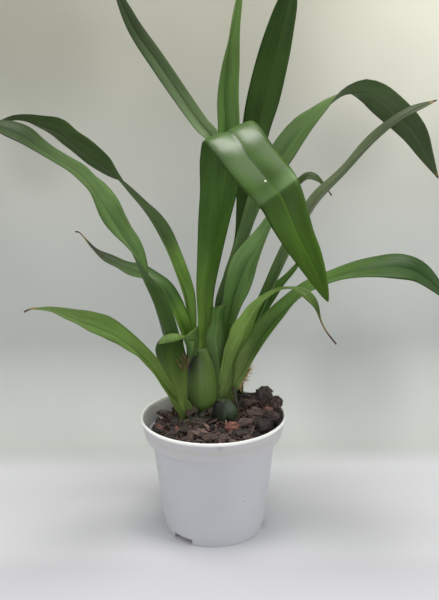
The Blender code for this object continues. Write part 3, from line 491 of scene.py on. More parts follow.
# %% Where the upright leaves stand
LEAVES.update({
    "leaf_centre": (
        (1, 44, 84.3, 9, 45, 0.1, -1, 0), (2, 45, 130, 10, 50, 0.1, -1, 0),
        (-5, 46, 175, 12, 50, 0.1, -1, 0), (0, 46, 221, 14, 42, 0.1, -1, 0),
        (7, 46, 255, 15, 40, 0.2, -1, 0), (12.5, 45, 295, 20, 38, 0.3, -1, 0),
        (14, 43, 328, 24, 36, 0.4, -0.9, 0), (13.5, 40, 354, 24, 34, 0.5, -0.9, 0),
        (15.5, 34, 376, 21.5, 34, 0.6, -0.8, -0.1), (19.5, 24, 403, 16, 32, 0.8, -0.5, -0.2),
        (23, 14, 422, 11, 25, 0.8, -0.4, -0.3), (25, 7, 434, 1.2, 5, 0.7, -0.5, -0.4),
    ),
    "leaf_upright": (
        (8, 50, 84.3, 9, 45, -0.3, 1, 0), (5, 52, 130, 10, 50, -0.3, 1, 0),
        (8, 54, 168, 10, 50, -0.4, 0.9, 0), (13, 56, 196, 14.5, 45, -0.5, 0.8, 0.1),
        (26, 57, 236, 18.5, 40, -0.6, 0.7, 0.1), (32, 56, 285, 25, 30, -0.5, 0.8, 0.1),
        (39, 53, 329, 28, 20, -0.4, 0.9, 0.2), (44, 49, 351, 30, 14, -0.3, 0.9, 0.2),
        (51, 44, 380, 29, 14, -0.3, 0.9, 0.3), (57, 38, 404, 26, 14, -0.4, 0.8, 0.3),
        (62, 33, 424, 18, 12, -0.4, 0.8, 0.3), (65, 28, 442, 1.2, 5, -0.4, 0.8, 0.3),
    ),
    "leaf_narrow_left": (
        (-8, 49, 84.3, 8, 45, 0.6, -0.8, 0), (-6, 55, 130, 9, 50, 0.6, -0.8, 0),
        (-4, 61, 164, 10, 45, 0.6, -0.8, 0), (-4, 66, 214, 13, 40, 0.7, -0.7, 0),
        (-1, 71, 262, 14, 35, 0.7, -0.7, 0.1), (3, 76.5, 297, 15, 34, 0.55, -0.8, 0.15),
        (1, 79.5, 321.5, 16, 30, 0.3, -0.9, 0.25), (-8.5, 82.5, 332.5, 16, 28, 0.05, -0.95, 0.25),
        (-28, 89.5, 360, 16.5, 24, -0.05, -1, 0.2), (-45.5, 95, 385.5, 16, 18, 0, -1, 0.2),
        (-65.5, 99.5, 414.5, 15, 16, 0.3, -0.85, 0.4), (-76, 102, 436, 10, 14, 0.4, -0.8, 0.3),
        (-84, 104, 454, 1.2, 5, 0.5, -0.7, 0.3),
    ),
})
print(len(LEAVES), "leaves so far")

# %% Where the leaves at the right stand
LEAVES.update({
    "leaf_right_arch": (
        (11, 41, 84.3, 8, 45, -0.7, -0.6, 0.1), (7, 41, 140, 10, 50, -0.7, -0.6, 0.1),
        (6, 40, 182, 13, 48, -0.7, -0.6, 0.3), (17, 39, 210, 18, 42, -0.7, -0.6, 0.3),
        (29, 38, 244, 22, 36, -0.8, -0.5, 0.3), (42, 34, 281, 25, 26, -0.7, -0.6, 0.3),
        (60, 28, 311, 27, 16, -0.6, -0.7, 0.3), (71, 24, 326, 27, 14, -0.7, -0.6, 0.4),
        (81, 20, 336, 27, 12, -0.7, -0.4, 0.6), (92, 16, 346, 27, 8, -0.6, -0.2, 0.8),
        (102, 12, 353, 27, 6, -0.4, 0.1, 0.9), (111, 8, 354, 27, 6, 0, 0.4, 0.9),
        (120, 5, 353, 27, 8, 0.4, 0.6, 0.7), (132, 1, 345, 27, 10, 0.6, 0.7, 0.4),
        (152, -6, 325, 23, 12, 0.6, 0.7, 0.3), (163, -9, 306, 12, 10, 0.6, 0.7, 0.2),
        (172, -11, 290, 1.2, 5, 0.7, 0.7, 0.3),
    ),
    "leaf_right_channel": (
        (24, 38, 84.3, 8, 45, -0.8, -0.5, 0.1), (24, 34, 120, 10, 50, -0.8, -0.5, 0.1),
        (27, 27, 143, 12, 48, -0.8, -0.5, 0.2), (35, 18, 172, 16, 42, -0.9, -0.4, 0.2),
        (45, 9, 198, 18, 36, -0.9, -0.4, 0.2), (60, -3, 236, 19, 34, -0.9, -0.3, 0.3),
        (79, -11, 273, 18, 34, -0.8, -0.3, 0.4), (100, -16, 297, 16, 34, -0.7, -0.1, 0.7),
        (120, -19, 319, 16, 30, -0.7, -0.3, 0.7), (140, -20, 335, 13, 24, -0.5, -0.4, 0.8),
        (152, -20, 341, 10, 16, -0.4, -0.5, 0.8), (165, -20, 346, 1.2, 5, -0.3, -0.5, 0.8),
    ),
    "leaf_right_short": (
        (15, 33, 84.3, 8, 45, 0, -1, 0), (13, 31, 125, 9, 50, 0.1, -1, 0),
        (12, 28, 156, 12, 50, 0.1, -1, 0), (16, 26, 183, 20, 42, 0, -1, 0),
        (21, 26, 200, 25, 32, -0.1, -1, 0), (27, 25, 218, 26, 26, -0.3, -0.9, 0.2),
        (34, 22, 231, 24, 24, -0.6, -0.7, 0.3), (41, 19, 243, 21, 22, -0.8, -0.5, 0.4),
        (47, 16, 254, 19, 22, -0.8, -0.4, 0.5), (59, 12, 272, 16, 22, -0.8, -0.3, 0.5),
        (69, 8, 286, 13, 18, -0.7, -0.3, 0.6), (76, 5, 292, 11, 12, -0.4, -0.4, 0.8),
        (83, 3, 290, 7, 10, 0.2, -0.6, 0.7), (88, 1, 285, 2.4, 5, 0.4, -0.7, 0.6),
        (94, -1, 277, 1, 5, 0.5, -0.7, 0.5),
    ),
    "leaf_right_low": (
        (20, 28, 85.5, 10, 40, -0.9, -0.3, 0.1), (16.5, 23, 110, 16, 38, -0.75, -0.6, 0.1),
        (24, 15, 131, 22.5, 34, -0.75, -0.6, 0.2), (32.4, 5, 152.7, 26.5, 27, -0.79, -0.54, 0.38),
        (43.8, -6, 173.3, 27.5, 20, -0.77, -0.4, 0.48), (56.5, -17, 191.4, 27.5, 16, -0.66, -0.3, 0.65),
        (70.1, -28, 207.8, 26.5, 14, -0.58, -0.12, 0.79), (87, -38, 219, 26, 12, -0.5, -0.1, 0.9),
        (102, -46, 226, 26, 12, -0.4, -0.2, 0.9), (120, -53, 230, 26, 12, -0.3, -0.4, 0.9),
        (134, -58, 231, 25, 12, -0.1, -0.6, 0.8), (147, -62, 228, 21, 12, 0.2, -0.7, 0.7),
        (160, -66, 217, 12, 10, 0.4, -0.7, 0.6), (168, -69, 207, 1.2, 5, 0.5, -0.7, 0.5),
    ),
    "leaf_right_lime": (
        (13, 18, 85.5, 9, 30, 0, 1, 0), (9, 13, 106, 12, 34, 0.05, 1, 0.15),
        (11.2, 10.5, 120.5, 15.5, 34, -0.3, 0.95, 0.2), (13.4, 7.5, 135.5, 17, 34, -0.5, 0.85, 0.3),
        (16, 3.5, 146.5, 18, 32, -0.45, 0.75, 0.45), (19.5, -1.5, 156.5, 21, 28, -0.4, 0.75, 0.55),
        (23.5, -7.5, 167, 23, 24, -0.4, 0.75, 0.55), (26, -13, 177, 23, 20, -0.4, 0.7, 0.55),
        (30, -19.5, 187, 21, 16, -0.5, 0.55, 0.65), (35.5, -30.5, 199, 18, 13, -0.45, 0.45, 0.75),
        (43, -40, 208, 14, 11, -0.3, 0.4, 0.85), (51, -50, 214.5, 12, 8, -0.2, 0.4, 0.9),
        (58, -57, 217, 12, 8, 0, 0.2, 1), (65, -64, 216, 12, 8, 0.2, -0.2, 0.9),
        (71, -69, 211, 10, 8, 0.4, -0.5, 0.7), (75, -73, 205, 5, 5, 0.6, -0.6, 0.5),
        (77, -75, 198, 1.8, 5, 0.7, -0.6, 0.4), (81, -77, 190, 1.4, 5, 0.7, -0.5, 0.5),
        (88, -79, 181, 1, 5, 0.6, -0.6, 0.5),
    ),
    "leaf_right_hidden": (
        (18, 42, 84.3, 8, 45, -0.8, -0.5, 0.1), (21, 41, 118, 10, 45, -0.8, -0.5, 0.1),
        (28, 37, 145, 12, 42, -0.8, -0.5, 0.2), (35, 32, 166, 16, 34, -0.8, -0.5, 0.3),
        (43, 27, 182, 18, 26, -0.8, -0.5, 0.3), (52, 22, 196, 17, 22, -0.8, -0.4, 0.4),
        (60, 17, 207, 14, 20, -0.8, -0.2, 0.5), (67, 12, 217, 9, 14, -0.8, -0.3, 0.5),
        (74, 8, 229, 1.2, 5, -0.8, -0.5, 0.4),
    ),
})
print(len(LEAVES), "leaves")
# %% [markdown]
# ## The skin of a leaf
#
# A strap leaf isn't one green. Light and dark lines run along it with its veins, the midrib is a pale
# or dark line, the edge is thin with a painted highlight along it, the lower face is duller, with
# painted shade on one leaf and painted light on another, and the tip dries to brown. All of that
# follows the blade, so the finish reads the attributes that the tree stored on it: how far across,
# how far along, and which face.


# %% Colours and new finishes
def paint(red, green, blue):
    """A screen colour as linear light, which shaders work in."""
    shares = (v / 255.0 for v in (red, green, blue))
    return tuple(v / 12.92 if v < 0.0404 else ((v + 0.055) / 1.055) ** 2.4 for v in shares)


def new_finish(name, **constants):
    material = bpy.data.materials.new(name)
    material.use_nodes = True
    shader = material.node_tree.nodes["Principled BSDF"]
    for key, value in constants.items():
        shader.inputs[key.replace("_", " ")].default_value = value
    return material, Graph(material.node_tree), shader


def stored(graph, name, output="Fac"):
    """A number or a vector that was stored on the points of the piece."""
    return graph.node("ShaderNodeAttribute", {"attribute_name": name}, output=output)


def object_place(graph):
    return graph.node("ShaderNodeTexCoord", output="Object")


def surface(graph, shader, colour, roughness, relief, strength, distance):
    """Feed the three things that most finishes vary over the piece."""
    bump = graph.node("ShaderNodeBump", {}, {"Strength": strength, "Distance": distance, "Height": relief})
    for name, value in (("Base Color", colour), ("Roughness", roughness), ("Normal", bump)):
        graph.feed(shader.inputs[name], value)


# %% What a leaf's finish reads from its blade
def read_blade(graph, seed):
    """The places that the tree stored on the blade, and the noises that follow them."""
    across, run, along = graph.parts(stored(graph, "blade", "Vector"))
    return SimpleNamespace(
        across=across,
        run=run,
        along=along,
        out=across.maths("ABSOLUTE"),
        half=stored(graph, "half"),
        upper=graph.step(stored(graph, "upper"), -0.3, 0.3),
        patches=graph.noise((across * 1.3, run * 22.0, seed), 3.0, 0.55),
        lines=graph.noise((across * 9.0, run * 10.0, seed + 4.0), 4.0, 0.6),
        fine=graph.noise((across * 34.0, run * 16.0, seed + 9.0), 3.0, 0.6),
        veins=(across * 62.0).maths("SINE") * 0.5 + 0.5,
    )


# %% The green of a leaf and its marks
STOPS = (0.0, 0.3, 0.62, 0.88)


def veined(graph, blade, paints, streak):
    """The paints from foot to tip, by themselves and with light and dark lines over them."""
    base = graph.ramp(blade.along, [(stop, paint(*shade)) for stop, shade in zip(STOPS, paints)])
    colour = base * (graph.step(blade.patches, 0.3, 0.7) * 0.36 + 0.82)
    colour = graph.mix(graph.step(blade.lines, 0.5, 0.75) * streak, colour, base * (1.75, 1.55, 1.7))
    colour = graph.mix(graph.step(blade.lines, 0.48, 0.3) * 0.5, colour, base * 0.6)
    colour = graph.mix(graph.step(blade.fine, 0.5, 0.8) * 0.3, colour, base * (1.7, 1.5, 1.6))
    return base, colour * (1.0 - blade.veins * 0.05)


def scratched(graph, blade, colour, share, seed):
    nicks = graph.noise((blade.across * 5.0, blade.run * 160.0, seed + 2.0), 2.0, 0.4)
    threads = graph.noise((blade.across * 26.0, blade.run * 30.0, seed + 6.0), 2.0, 0.4)
    colour = graph.mix(graph.step(nicks, 0.66, 0.74) * share, colour, paint(150, 172, 124))
    return graph.mix(graph.step(threads, 0.6, 0.72) * share, colour, paint(172, 186, 120))


def painted_glow(graph, blade, colour, start, end, light):
    """Painted light: the lower part of a blade is painted paler where light shines through it."""
    painted_light = graph.step(blade.along, start, start + 0.08) * graph.step(blade.along, end, end - 0.08)
    return graph.mix(painted_light * (graph.step(blade.patches, 0.2, 0.6) * 0.25 + 0.4), colour, paint(*light))


def paint_crease_light_and_shade(graph, blade, colour, base, at, light):
    """A fold across the blade, with a painted highlight above the line and painted shade below it."""
    pale = graph.step(blade.along, at - 0.035, at) * graph.step(blade.along, at + 0.008, at)
    colour = graph.mix(pale * (0.3 + graph.step(blade.across, -0.4, 0.7) * 0.3), colour, paint(*light))
    shade = graph.step(blade.along, at, at + 0.012) * graph.step(blade.along, at + 0.07, at + 0.02)
    return graph.mix(shade * 0.4, colour, base * 0.5)


def dried(graph, blade, colour, dry):
    """The dry tip has a ragged border, and its last millimetre is dark."""
    length = blade.run / blade.along.maths("MAXIMUM", 0.01)
    left = length - blade.run + (blade.lines - 0.5) * 0.006
    colour = graph.mix(graph.step(left, dry * 1.6 * MM, dry * 0.8 * MM), colour, paint(128, 108, 62))
    return graph.mix(graph.step(left, dry * 0.9 * MM, dry * 0.3 * MM), colour, paint(70, 48, 34))


# %% The leaf's finish
def leaf_finish(name, paints, under=(0.9, 0.92, 0.95), rib=0.62, dry=3.0, streak=0.5, seed=1.0, grain=0.35,
                glow=None, scratches=0.0, speck=None, sheen=None, painted_crease=None):
    """The paints run from the foot to the tip. The lower face and the midrib are shares of them."""
    material, graph, shader = new_finish(name, Coat_Weight=0.04, Coat_Roughness=0.24, Specular_IOR_Level=0.2)
    blade = read_blade(graph, seed)
    base, colour = veined(graph, blade, paints, streak)
    if scratches:
        colour = scratched(graph, blade, colour, scratches, seed)
    if glow:
        colour = painted_glow(graph, blade, colour, *glow)
    # The lower face is a share of the upper colour: its own duller green, with painted shade on
    # leaf_left_front and painted light on leaf_left_back
    colour = graph.mix(blade.upper, colour * under, colour)
    rib_tone = rib
    # Painted highlight above the crease and painted shade below it
    if painted_crease:
        colour = paint_crease_light_and_shade(graph, blade, colour, base, *painted_crease)
        # Above the fold the midrib is pale, and the lower face has no dark one
        pale = graph.step(blade.along, painted_crease[0] - 0.04, painted_crease[0])
        rib_tone = pale * (1.9 - rib) + rib + (1.0 - blade.upper) * (0.9 - rib)
    colour = graph.mix(graph.step(blade.out, 0.055, 0.015) * 0.75, colour, base * rib_tone)
    # Painted highlight: a thin bright line along the edge of the blade
    rim = graph.step(blade.half * (1.0 - blade.out), 0.7 * MM, 0.2 * MM)
    colour = graph.mix(rim * 0.5, colour, base * (1.9, 1.7, 1.7))
    if dry:
        colour = dried(graph, blade, colour, dry)
    if speck:
        beside = blade.across * blade.half - speck[0] * MM
        away = graph.vector(beside, (blade.along - speck[1]) * 0.3, 0.0).maths("LENGTH")
        colour = graph.mix(graph.step(away, 0.9 * MM, 0.5 * MM), colour, paint(205, 214, 190))

    # A few scars and specks of dust
    dust = graph.noise((blade.across * blade.half * 900.0, blade.run * 900.0, seed))
    colour = graph.mix(graph.step(dust, 0.76, 0.82) * 0.5, colour, paint(150, 150, 120))

    roughness = 0.42 + blade.lines * 0.16 + (1.0 - blade.upper) * 0.12
    relief = blade.veins * 0.12 + blade.fine * 0.5 + blade.lines * 0.5
    surface(graph, shader, colour, roughness, relief, grain, 0.6 * MM)
    if sheen:
        # Where the blade is stretched over its bend, it shines
        start, end = sheen
        curved = blade.along + blade.across * blade.across * 0.02
        bend = graph.step(blade.along, start, start + 0.02) * graph.step(curved, end, end - 0.04)
        graph.feed(shader.inputs["Coat Weight"], bend * 0.56 + 0.04)
    return material


# %% How each leaf differs
LEAF_LOOKS = {
    "leaf_front_fold": dict(paints=((110, 142, 58), (64, 96, 32), (59, 86, 35), (49, 78, 0)),
                            under=(1.02, 1.05, 1.06), rib=0.4, dry=0.0, streak=0.35, seed=3.0, grain=0.22,
                            speck=(-2.0, 0.725), sheen=(0.57, 0.655), painted_crease=(0.757, (118, 146, 98))),
    # Its lower face is painted about twice as bright as its upper one: painted light
    "leaf_left_back": dict(paints=((94, 130, 52), (58, 82, 36), (36, 49, 20), (37, 49, 24)),
                           under=(1.85, 2.15, 1.45), seed=5.0, glow=(0.04, 0.42, (112, 150, 58))),
    # Its lower face is painted darker: painted shade
    "leaf_left_front": dict(paints=((54, 80, 31), (81, 110, 56), (86, 113, 61), (38, 59, 23)),
                            under=(0.62, 0.67, 0.52), seed=7.0),
    "leaf_left_short": dict(paints=((106, 146, 54), (71, 99, 51), (68, 96, 47), (48, 57, 39)),
                            dry=12.0, seed=11.0, glow=(0.1, 0.5, (126, 168, 62))),
    "leaf_left_low": dict(paints=((80, 98, 51), (102, 129, 57), (87, 115, 53), (79, 103, 51)),
                          dry=7.0, seed=13.0),
    "leaf_centre": dict(paints=((45, 68, 33), (85, 115, 61), (91, 125, 60), (93, 123, 61)), seed=17.0),
    "leaf_upright": dict(paints=((40, 62, 24), (47, 72, 22), (51, 79, 19), (44, 71, 15)), rib=1.3, seed=19.0),
    "leaf_narrow_left": dict(paints=((56, 76, 38), (80, 104, 56), (102, 124, 83), (36, 52, 21)), seed=23.0),
    "leaf_right_arch": dict(paints=((30, 46, 22), (68, 92, 49), (84, 111, 61), (73, 89, 55)),
                            rib=1.3, seed=29.0),
    "leaf_right_channel": dict(paints=((28, 56, 8), (43, 85, 0), (101, 114, 82), (66, 78, 51)),
                               dry=4.0, streak=0.7, seed=31.0),
    "leaf_right_short": dict(paints=((58, 90, 34), (94, 128, 63), (102, 133, 78), (53, 69, 32)),
                             dry=5.0, seed=37.0),
    # Its foot is painted very pale: painted light where it stands in shade behind the old bulb
    "leaf_right_low": dict(paints=((190, 212, 134), (84, 114, 54), (77, 107, 47), (35, 64, 18)),
                           dry=4.0, streak=0.7, seed=41.0),
    "leaf_right_lime": dict(paints=((92, 106, 64), (114, 145, 67), (129, 165, 76), (38, 62, 0)),
                            dry=17.0, streak=0.9, seed=43.0, scratches=0.75),
    "leaf_right_hidden": dict(paints=((50, 76, 28), (60, 96, 32), (80, 124, 44), (90, 125, 55)), seed=47.0),
}
DARK_LEAVES = ("leaf_left_back", "leaf_upright", "leaf_narrow_left", "leaf_right_channel",
               "leaf_right_hidden")
LIME_LEAVES = ("leaf_left_low", "leaf_right_lime")
LEAF_SLOTS = {**dict.fromkeys(DARK_LEAVES, "leaf_dark"), **dict.fromkeys(LIME_LEAVES, "leaf_lime")}
# Where a crease crosses, how deep it is, and the depth of the groove along the midrib
CREASES = {"leaf_front_fold": (0.75, 0.9, 0.05)}
print(len(LEAF_LOOKS), "leaf looks")

# %% Grow the leaves
for number, (name, rows) in enumerate(LEAVES.items()):
    finish = leaf_finish(name + "_skin", **LEAF_LOOKS[name])
    crease_at, crease, groove = CREASES.get(name, (0.5, 0.0, 0.35))
    piece = grow(name + "_blade", path_object(rows), STRAP, around=36, rings=84, edge=0.55 * MM, rib=1.5 * MM,
                 groove=groove * MM, bow=0.06, wave=0.9 * MM, wave_length=0.045, crease_at=crease_at,
                 crease=crease * MM, torn=0.0, seed=float(number * 3 + 1), finish=finish)
    hand_over(piece, name)

# %% [markdown]
# ## Sheaths
#
# At the foot of the clump old leaf bases clasp the pseudobulb. The left one ends in a collar that rolls
# outwards over the front, and its mouth runs on behind it. The bluish pair wraps the top of the bulb
# and is torn off. Such a skin bends both ways, so it is typed as rows of three points, from its left
# edge over its belly to its right edge, and a smooth sheet with a thickness is laid through them.


# %% A skin through rows of three points
RIM_SHARES = (0.25, 0.4)


def band(low, high):
    """The faces between two rings of point numbers."""
    faces = []
    for i in range(len(low)):
        j = (i + 1) % len(low)
        faces.append((low[i], low[j], high[j], high[i]))
    return faces


def skin(name, rows, thickness, finish, columns=24, step=1.4):
    """Two faces side by side through the rows, thinner near the rim, and a rim that closes them."""
    run = smooth_rows([[*left, *belly, *right] for left, belly, right in rows], step)
    shares = [2.0 * c / columns - 1.0 for c in range(columns + 1)]
    net = []
    for row in run:
        left, belly, right = Vector(row[:3]), Vector(row[3:6]), Vector(row[6:9])
        line = []
        for a in shares:
            line.append(left * (a * (a - 1.0) / 2.0) + belly * (1.0 - a * a) + right * (a * (a + 1.0) / 2.0))
        net.append(line)
    last = len(net) - 1
    points = []
    marks = []
    for face in (1.0, -1.0):
        for r, line in enumerate(net):
            half = (line[-1] - line[0]).length / 2.0
            for c, point in enumerate(line):
                ahead = net[min(r + 1, last)][c] - net[max(r - 1, 0)][c]
                beside = line[min(c + 1, columns)] - line[max(c - 1, 0)]
                rim = min(c, columns - c, r, last - r)
                thick = thickness * (RIM_SHARES[rim] if rim < len(RIM_SHARES) else 0.5)
                points.append(point + beside.cross(ahead).normalized() * thick * face)
                marks.append(((shares[c], r * step * MM, r / last), -face, half * MM))
    wide = columns + 1
    back = len(points) // 2
    faces = []
    for r in range(last):
        for a in range(r * wide, r * wide + columns):
            faces.append((a, a + 1, a + wide + 1, a + wide))
            faces.append((back + a, back + a + wide, back + a + wide + 1, back + a + 1))
    top = last * wide
    border = [*range(wide), *range(wide + columns, top, wide)]
    border += [*range(top + columns, top, -1), *range(top, 0, -wide)]
    faces += band([back + a for a in border], border)
    piece = mesh_object(name, points, faces)
    kinds = (("blade", "FLOAT_VECTOR"), ("upper", "FLOAT"), ("half", "FLOAT"))
    for (label, kind), values in zip(kinds, zip(*marks)):
        store(piece.data, label, kind, values)
    piece.data.materials.append(finish)
    piece.data.shade_smooth()
    print(name, len(faces), "faces")
    return piece


# %% Where the sheaths lie: left edge, belly and right edge
COLLAR = (
    ((-32.2, 14, 94.8), (-26.8, 10, 95.5), (-22, 15, 95.2)),
    ((-37.7, 14, 109.3), (-28.9, 9, 110.2), (-22.2, 17, 108.9)),
    ((-41.8, 13, 124.9), (-31.7, 7, 126.1), (-21.6, 17, 124.2)),
    ((-45.4, 11, 139.7), (-32.8, 5, 140.7), (-21.5, 17, 138.4)),
    ((-47.4, 9.5, 149.8), (-34.5, 3.5, 150.7), (-23.5, 14, 149.1)),
    ((-46.3, 8.5, 155.5), (-34.2, 3, 157.7), (-24.6, 13, 156.3)),
    ((-43.4, 9, 159.8), (-34.1, 4.5, 166.6), (-23.8, 14, 160.8)),
    ((-43.6, 6, 158.7), (-33.2, -1.5, 166.8), (-23.2, 11, 161.3)),
    ((-44.2, 4, 157.3), (-32.4, -4, 161.4), (-22.3, 10, 160.3)),
)
MOUTH = (
    ((-20.6, 21, 141.9), (-16.9, 19, 141.6), (-12.9, 25, 141.4)),
    ((-22, 19, 149.6), (-17.4, 17, 149.3), (-12.4, 26, 148.2)),
    ((-23.9, 16, 156.6), (-17.6, 16, 157.4), (-11.7, 26, 157.9)),
    ((-24.1, 13, 160.8), (-18.3, 15, 164.4), (-12.4, 23, 167.6)),
)
CLASP_LEFT = (
    ((-21.2, 15, 137), (-20.6, 14, 137.2), (-20, 15, 137)),
    ((-21.9, 15, 142.6), (-19, 12, 143.5), (-16.9, 16, 143.1)),
    ((-21.9, 15.5, 149.3), (-17.5, 11, 150.6), (-14, 17, 149.6)),
    ((-23.3, 16, 156.6), (-17.8, 12, 157.2), (-13, 18, 156.2)),
)
CLASP_RIGHT = (
    ((3.6, 12, 116), (4.9, 10.5, 116.5), (6, 12, 116)),
    ((0.7, 14, 134.8), (4.3, 9.5, 135.4), (6.9, 12, 136.3)),
    ((-3.8, 15, 146.8), (2.8, 8.5, 147.9), (8.1, 13, 148.2)),
    ((-6.1, 17, 155.8), (2.1, 9.5, 158), (9, 15, 156.3)),
    ((-4.3, 19, 164), (2.6, 11.5, 166), (8.9, 17, 164.4)),
    ((-1.5, 21, 171.6), (3.5, 15.5, 173.2), (8.8, 20, 172.7)),
    ((-1.2, 22, 179.6), (4.4, 18, 180.9), (10.1, 21, 181.2)),
    ((-1.2, 23, 183), (5.6, 20, 185.3), (13.3, 22, 188)),
)

# %% Lay the sheaths
# The sheath's paints grow dark towards its top: painted shade, where the rolled collar overhangs it
SHEATH_SKIN = leaf_finish("sheath_skin", ((122, 144, 68), (119, 142, 70), (82, 107, 42), (48, 75, 16)),
                          rib=0.95, dry=0.0, streak=0.3, seed=53.0)
COLLAR_SKIN = leaf_finish("collar_skin", ((99, 130, 64), (114, 144, 76), (123, 151, 83), (108, 137, 71)),
                          rib=0.95, dry=0.0, streak=0.35, seed=54.0)
CLASP_SKIN = leaf_finish("clasp_skin", ((78, 105, 50), (80, 106, 53), (87, 115, 64), (82, 115, 50)),
                         rib=1.1, dry=0.0, streak=0.8, seed=59.0, scratches=0.35)
body = skin("body", COLLAR[:7], 0.9, SHEATH_SKIN)
roll = skin("roll", COLLAR[6:], 0.9, COLLAR_SKIN)
mouth = skin("mouth", MOUTH, 0.8, COLLAR_SKIN)
clasp_right = skin("clasp_right", CLASP_RIGHT, 0.8, CLASP_SKIN)
clasp_left = skin("clasp_left", CLASP_LEFT, 0.8, CLASP_SKIN)
hand_over(joined("left_sheath", [body, roll, mouth]), "sheath_left")
hand_over(joined("right_sheath", [clasp_right, clasp_left]), "sheath_right")

# %% [markdown]
# ## Threads
#
# Dry fibres, root hairs and bark threads are all thin tapering tubes along a crooked line. A second
# tree turns any set of lines into such tubes.


# %% The thread tree
def thread_tree():
    tree, graph, given = new_tree("Threads", [("Thickness", "Float"), ("Sides", "Int")])
    lines = graph.node("GeometryNodeMeshToCurve", {}, {0: given["Geometry"]})
    taper = 1.15 - graph.node("GeometryNodeSplineParameter", {}, {}, "Factor")
    lines = graph.node("GeometryNodeSetCurveRadius", {}, {"Curve": lines, "Radius": taper * 0.5})
    parts = {"Resolution": given["Sides"], "Radius": given["Thickness"]}
    ring = graph.node("GeometryNodeCurvePrimitiveCircle", {}, parts)
    parts = {"Curve": lines, "Profile Curve": ring, "Scale": taper, "Fill Caps": True}
    tubes = graph.node("GeometryNodeCurveToMesh", {}, parts)
    tubes = graph.node("GeometryNodeSetShadeSmooth", {}, {0: tubes})
    end_tree(graph, given, tubes)
    return tree


THREAD = thread_tree()
THREAD_PARTS = 6


def threads(name, starts, seed, crook, **values):
    """Crooked tubes: each start is a point, a direction, a length and a droop, in mm."""
    dice = random.Random(seed)
    points = []
    edges = []
    for start, way, length, droop in starts:
        here = Vector(start)
        way = Vector(way).normalized()
        for i in range(THREAD_PARTS + 1):
            points.append(here)
            if i:
                edges.append((len(points) - 2, len(points) - 1))
            way += Vector([dice.uniform(-crook, crook) for _ in range(3)])
            way.z -= droop / THREAD_PARTS
            way.normalize()
            here = here + way * length / THREAD_PARTS
    return grow(name, mesh_object("lines", points, edges=edges), THREAD, **values)


# %% The finish of dry tissue
def dry_finish(name, dark, light):
    material, graph, shader = new_finish(name)
    grain = graph.noise(object_place(graph), 4.0, 0.65, 420.0)
    colour = graph.mix(graph.step(grain, 0.35, 0.65), paint(*dark), paint(*light))
    surface(graph, shader, colour, 0.75, grain, 0.5, 0.4 * MM)
    return material


# %% [markdown]
# The husks are what is left of dead sheaths: brown strands across the left shoulder of the bulb, and a
# pale fringe along the foot of the lowest right leaf. Each strand has its own start, way and length.

# %% Grow the left husk
LEFT_STRANDS = (
    ((-29.6, 4.6, 143.6), (5.6, 3, -12), 14.5), ((-28.6, 5, 140.6), (5.5, 2.6, -8), 9.5),
    ((-26.6, 6.5, 146), (2.8, 2, -9), 17), ((-25.2, 9, 148), (3.4, -0.5, -8), 11),
    ((-24.4, 10.5, 146.4), (3.6, 0, -6), 10), ((-20.4, 11, 145.6), (-3.4, -0.5, -10), 15),
    ((-19.6, 11.5, 142.6), (-3, -0.5, -8), 12), ((-24.6, 9.5, 141), (1.2, 0.6, -10), 13),
    ((-26.4, 7, 138), (4, 2, -7), 9),
)
HUSK_SKIN = dry_finish("husk_skin", (86, 70, 46), (150, 124, 92))
dice = random.Random(61)


def spread(*limits):
    """A random point: each limit is the lowest and the highest value of one axis."""
    return Vector([dice.uniform(low, high) for low, high in limits])


strands = []
for start, way, length in LEFT_STRANDS:
    for twin in range(3):
        nudge = spread((-0.8, 0.8), (-0.8, 0.8), (-0.8, 0.8))
        strands.append((Vector(start) + nudge, way, length * dice.uniform(0.7, 1.0), 0.0))
husk = threads("left_husk_strands", strands, 67, 0.1, thickness=0.2 * MM, sides=5, finish=HUSK_SKIN)
hand_over(husk, "husk_left")

# %% Grow the right husk: a torn scrap with a fringe along it
SCRAP_PATH = (
    (22, 19.6, 112.5, 4, 15, -0.91, 0.4, 0), (26.1, 17, 122, 6, 15, -0.98, 0.2, 0.2),
    (30.2, 12.9, 131, 5, 12, -1, 0.1, 0.3), (32.5, 12, 136.5, 2, 5, -1, 0.1, 0.3),
)
SCRAP_STEP = 1.5
FRINGE_SKIN = dry_finish("fringe_skin", (150, 118, 78), (214, 188, 140))
scrap = grow("right_husk_scrap", path_object(SCRAP_PATH, SCRAP_STEP), STRAP, around=20, rings=28,
             edge=0.35 * MM, rib=0.7 * MM, groove=0.0, bow=0.1, wave=1.2 * MM, wave_length=0.012,
             crease_at=0.5, crease=0.0, torn=0.45, seed=3.0, finish=FRINGE_SKIN)
run = smooth_rows(SCRAP_PATH, SCRAP_STEP)
strands = []
for i in range(54):
    row = dice.choice(run)
    start = Vector(row[:3]) + spread((-1.0, 1.5), (-2.0, 1.0), (-2.0, 2.0))
    way = spread((-0.2, 0.9), (-0.5, 0.3), (-1.0, 0.4))
    strands.append((start, way, dice.uniform(2.0, 6.0), 0.1))
fringe = threads("right_husk_fringe", strands, 68, 0.3, thickness=0.3 * MM, sides=5, finish=FRINGE_SKIN)
hand_over(joined("right_husk", [scrap, fringe]), "husk_right")

# %% [markdown]
# ## Pseudobulbs
#
# A pseudobulb is a swollen stem, flattened front to back, with blunt ribs and a scar ring at its top
# where its leaf sat. It is lofted through sections here rather than turned, because it isn't round.


# %% The loft
BULB_SIDES = 64
BULB_STEP = 5.0 / 3.0
RIB_COUNT = 9.0


def circle(sides):
    """The cosine and the sine at each corner of a ring."""
    angles = [2.0 * math.pi * i / sides for i in range(sides)]
    return [(math.cos(angle), math.sin(angle)) for angle in angles]


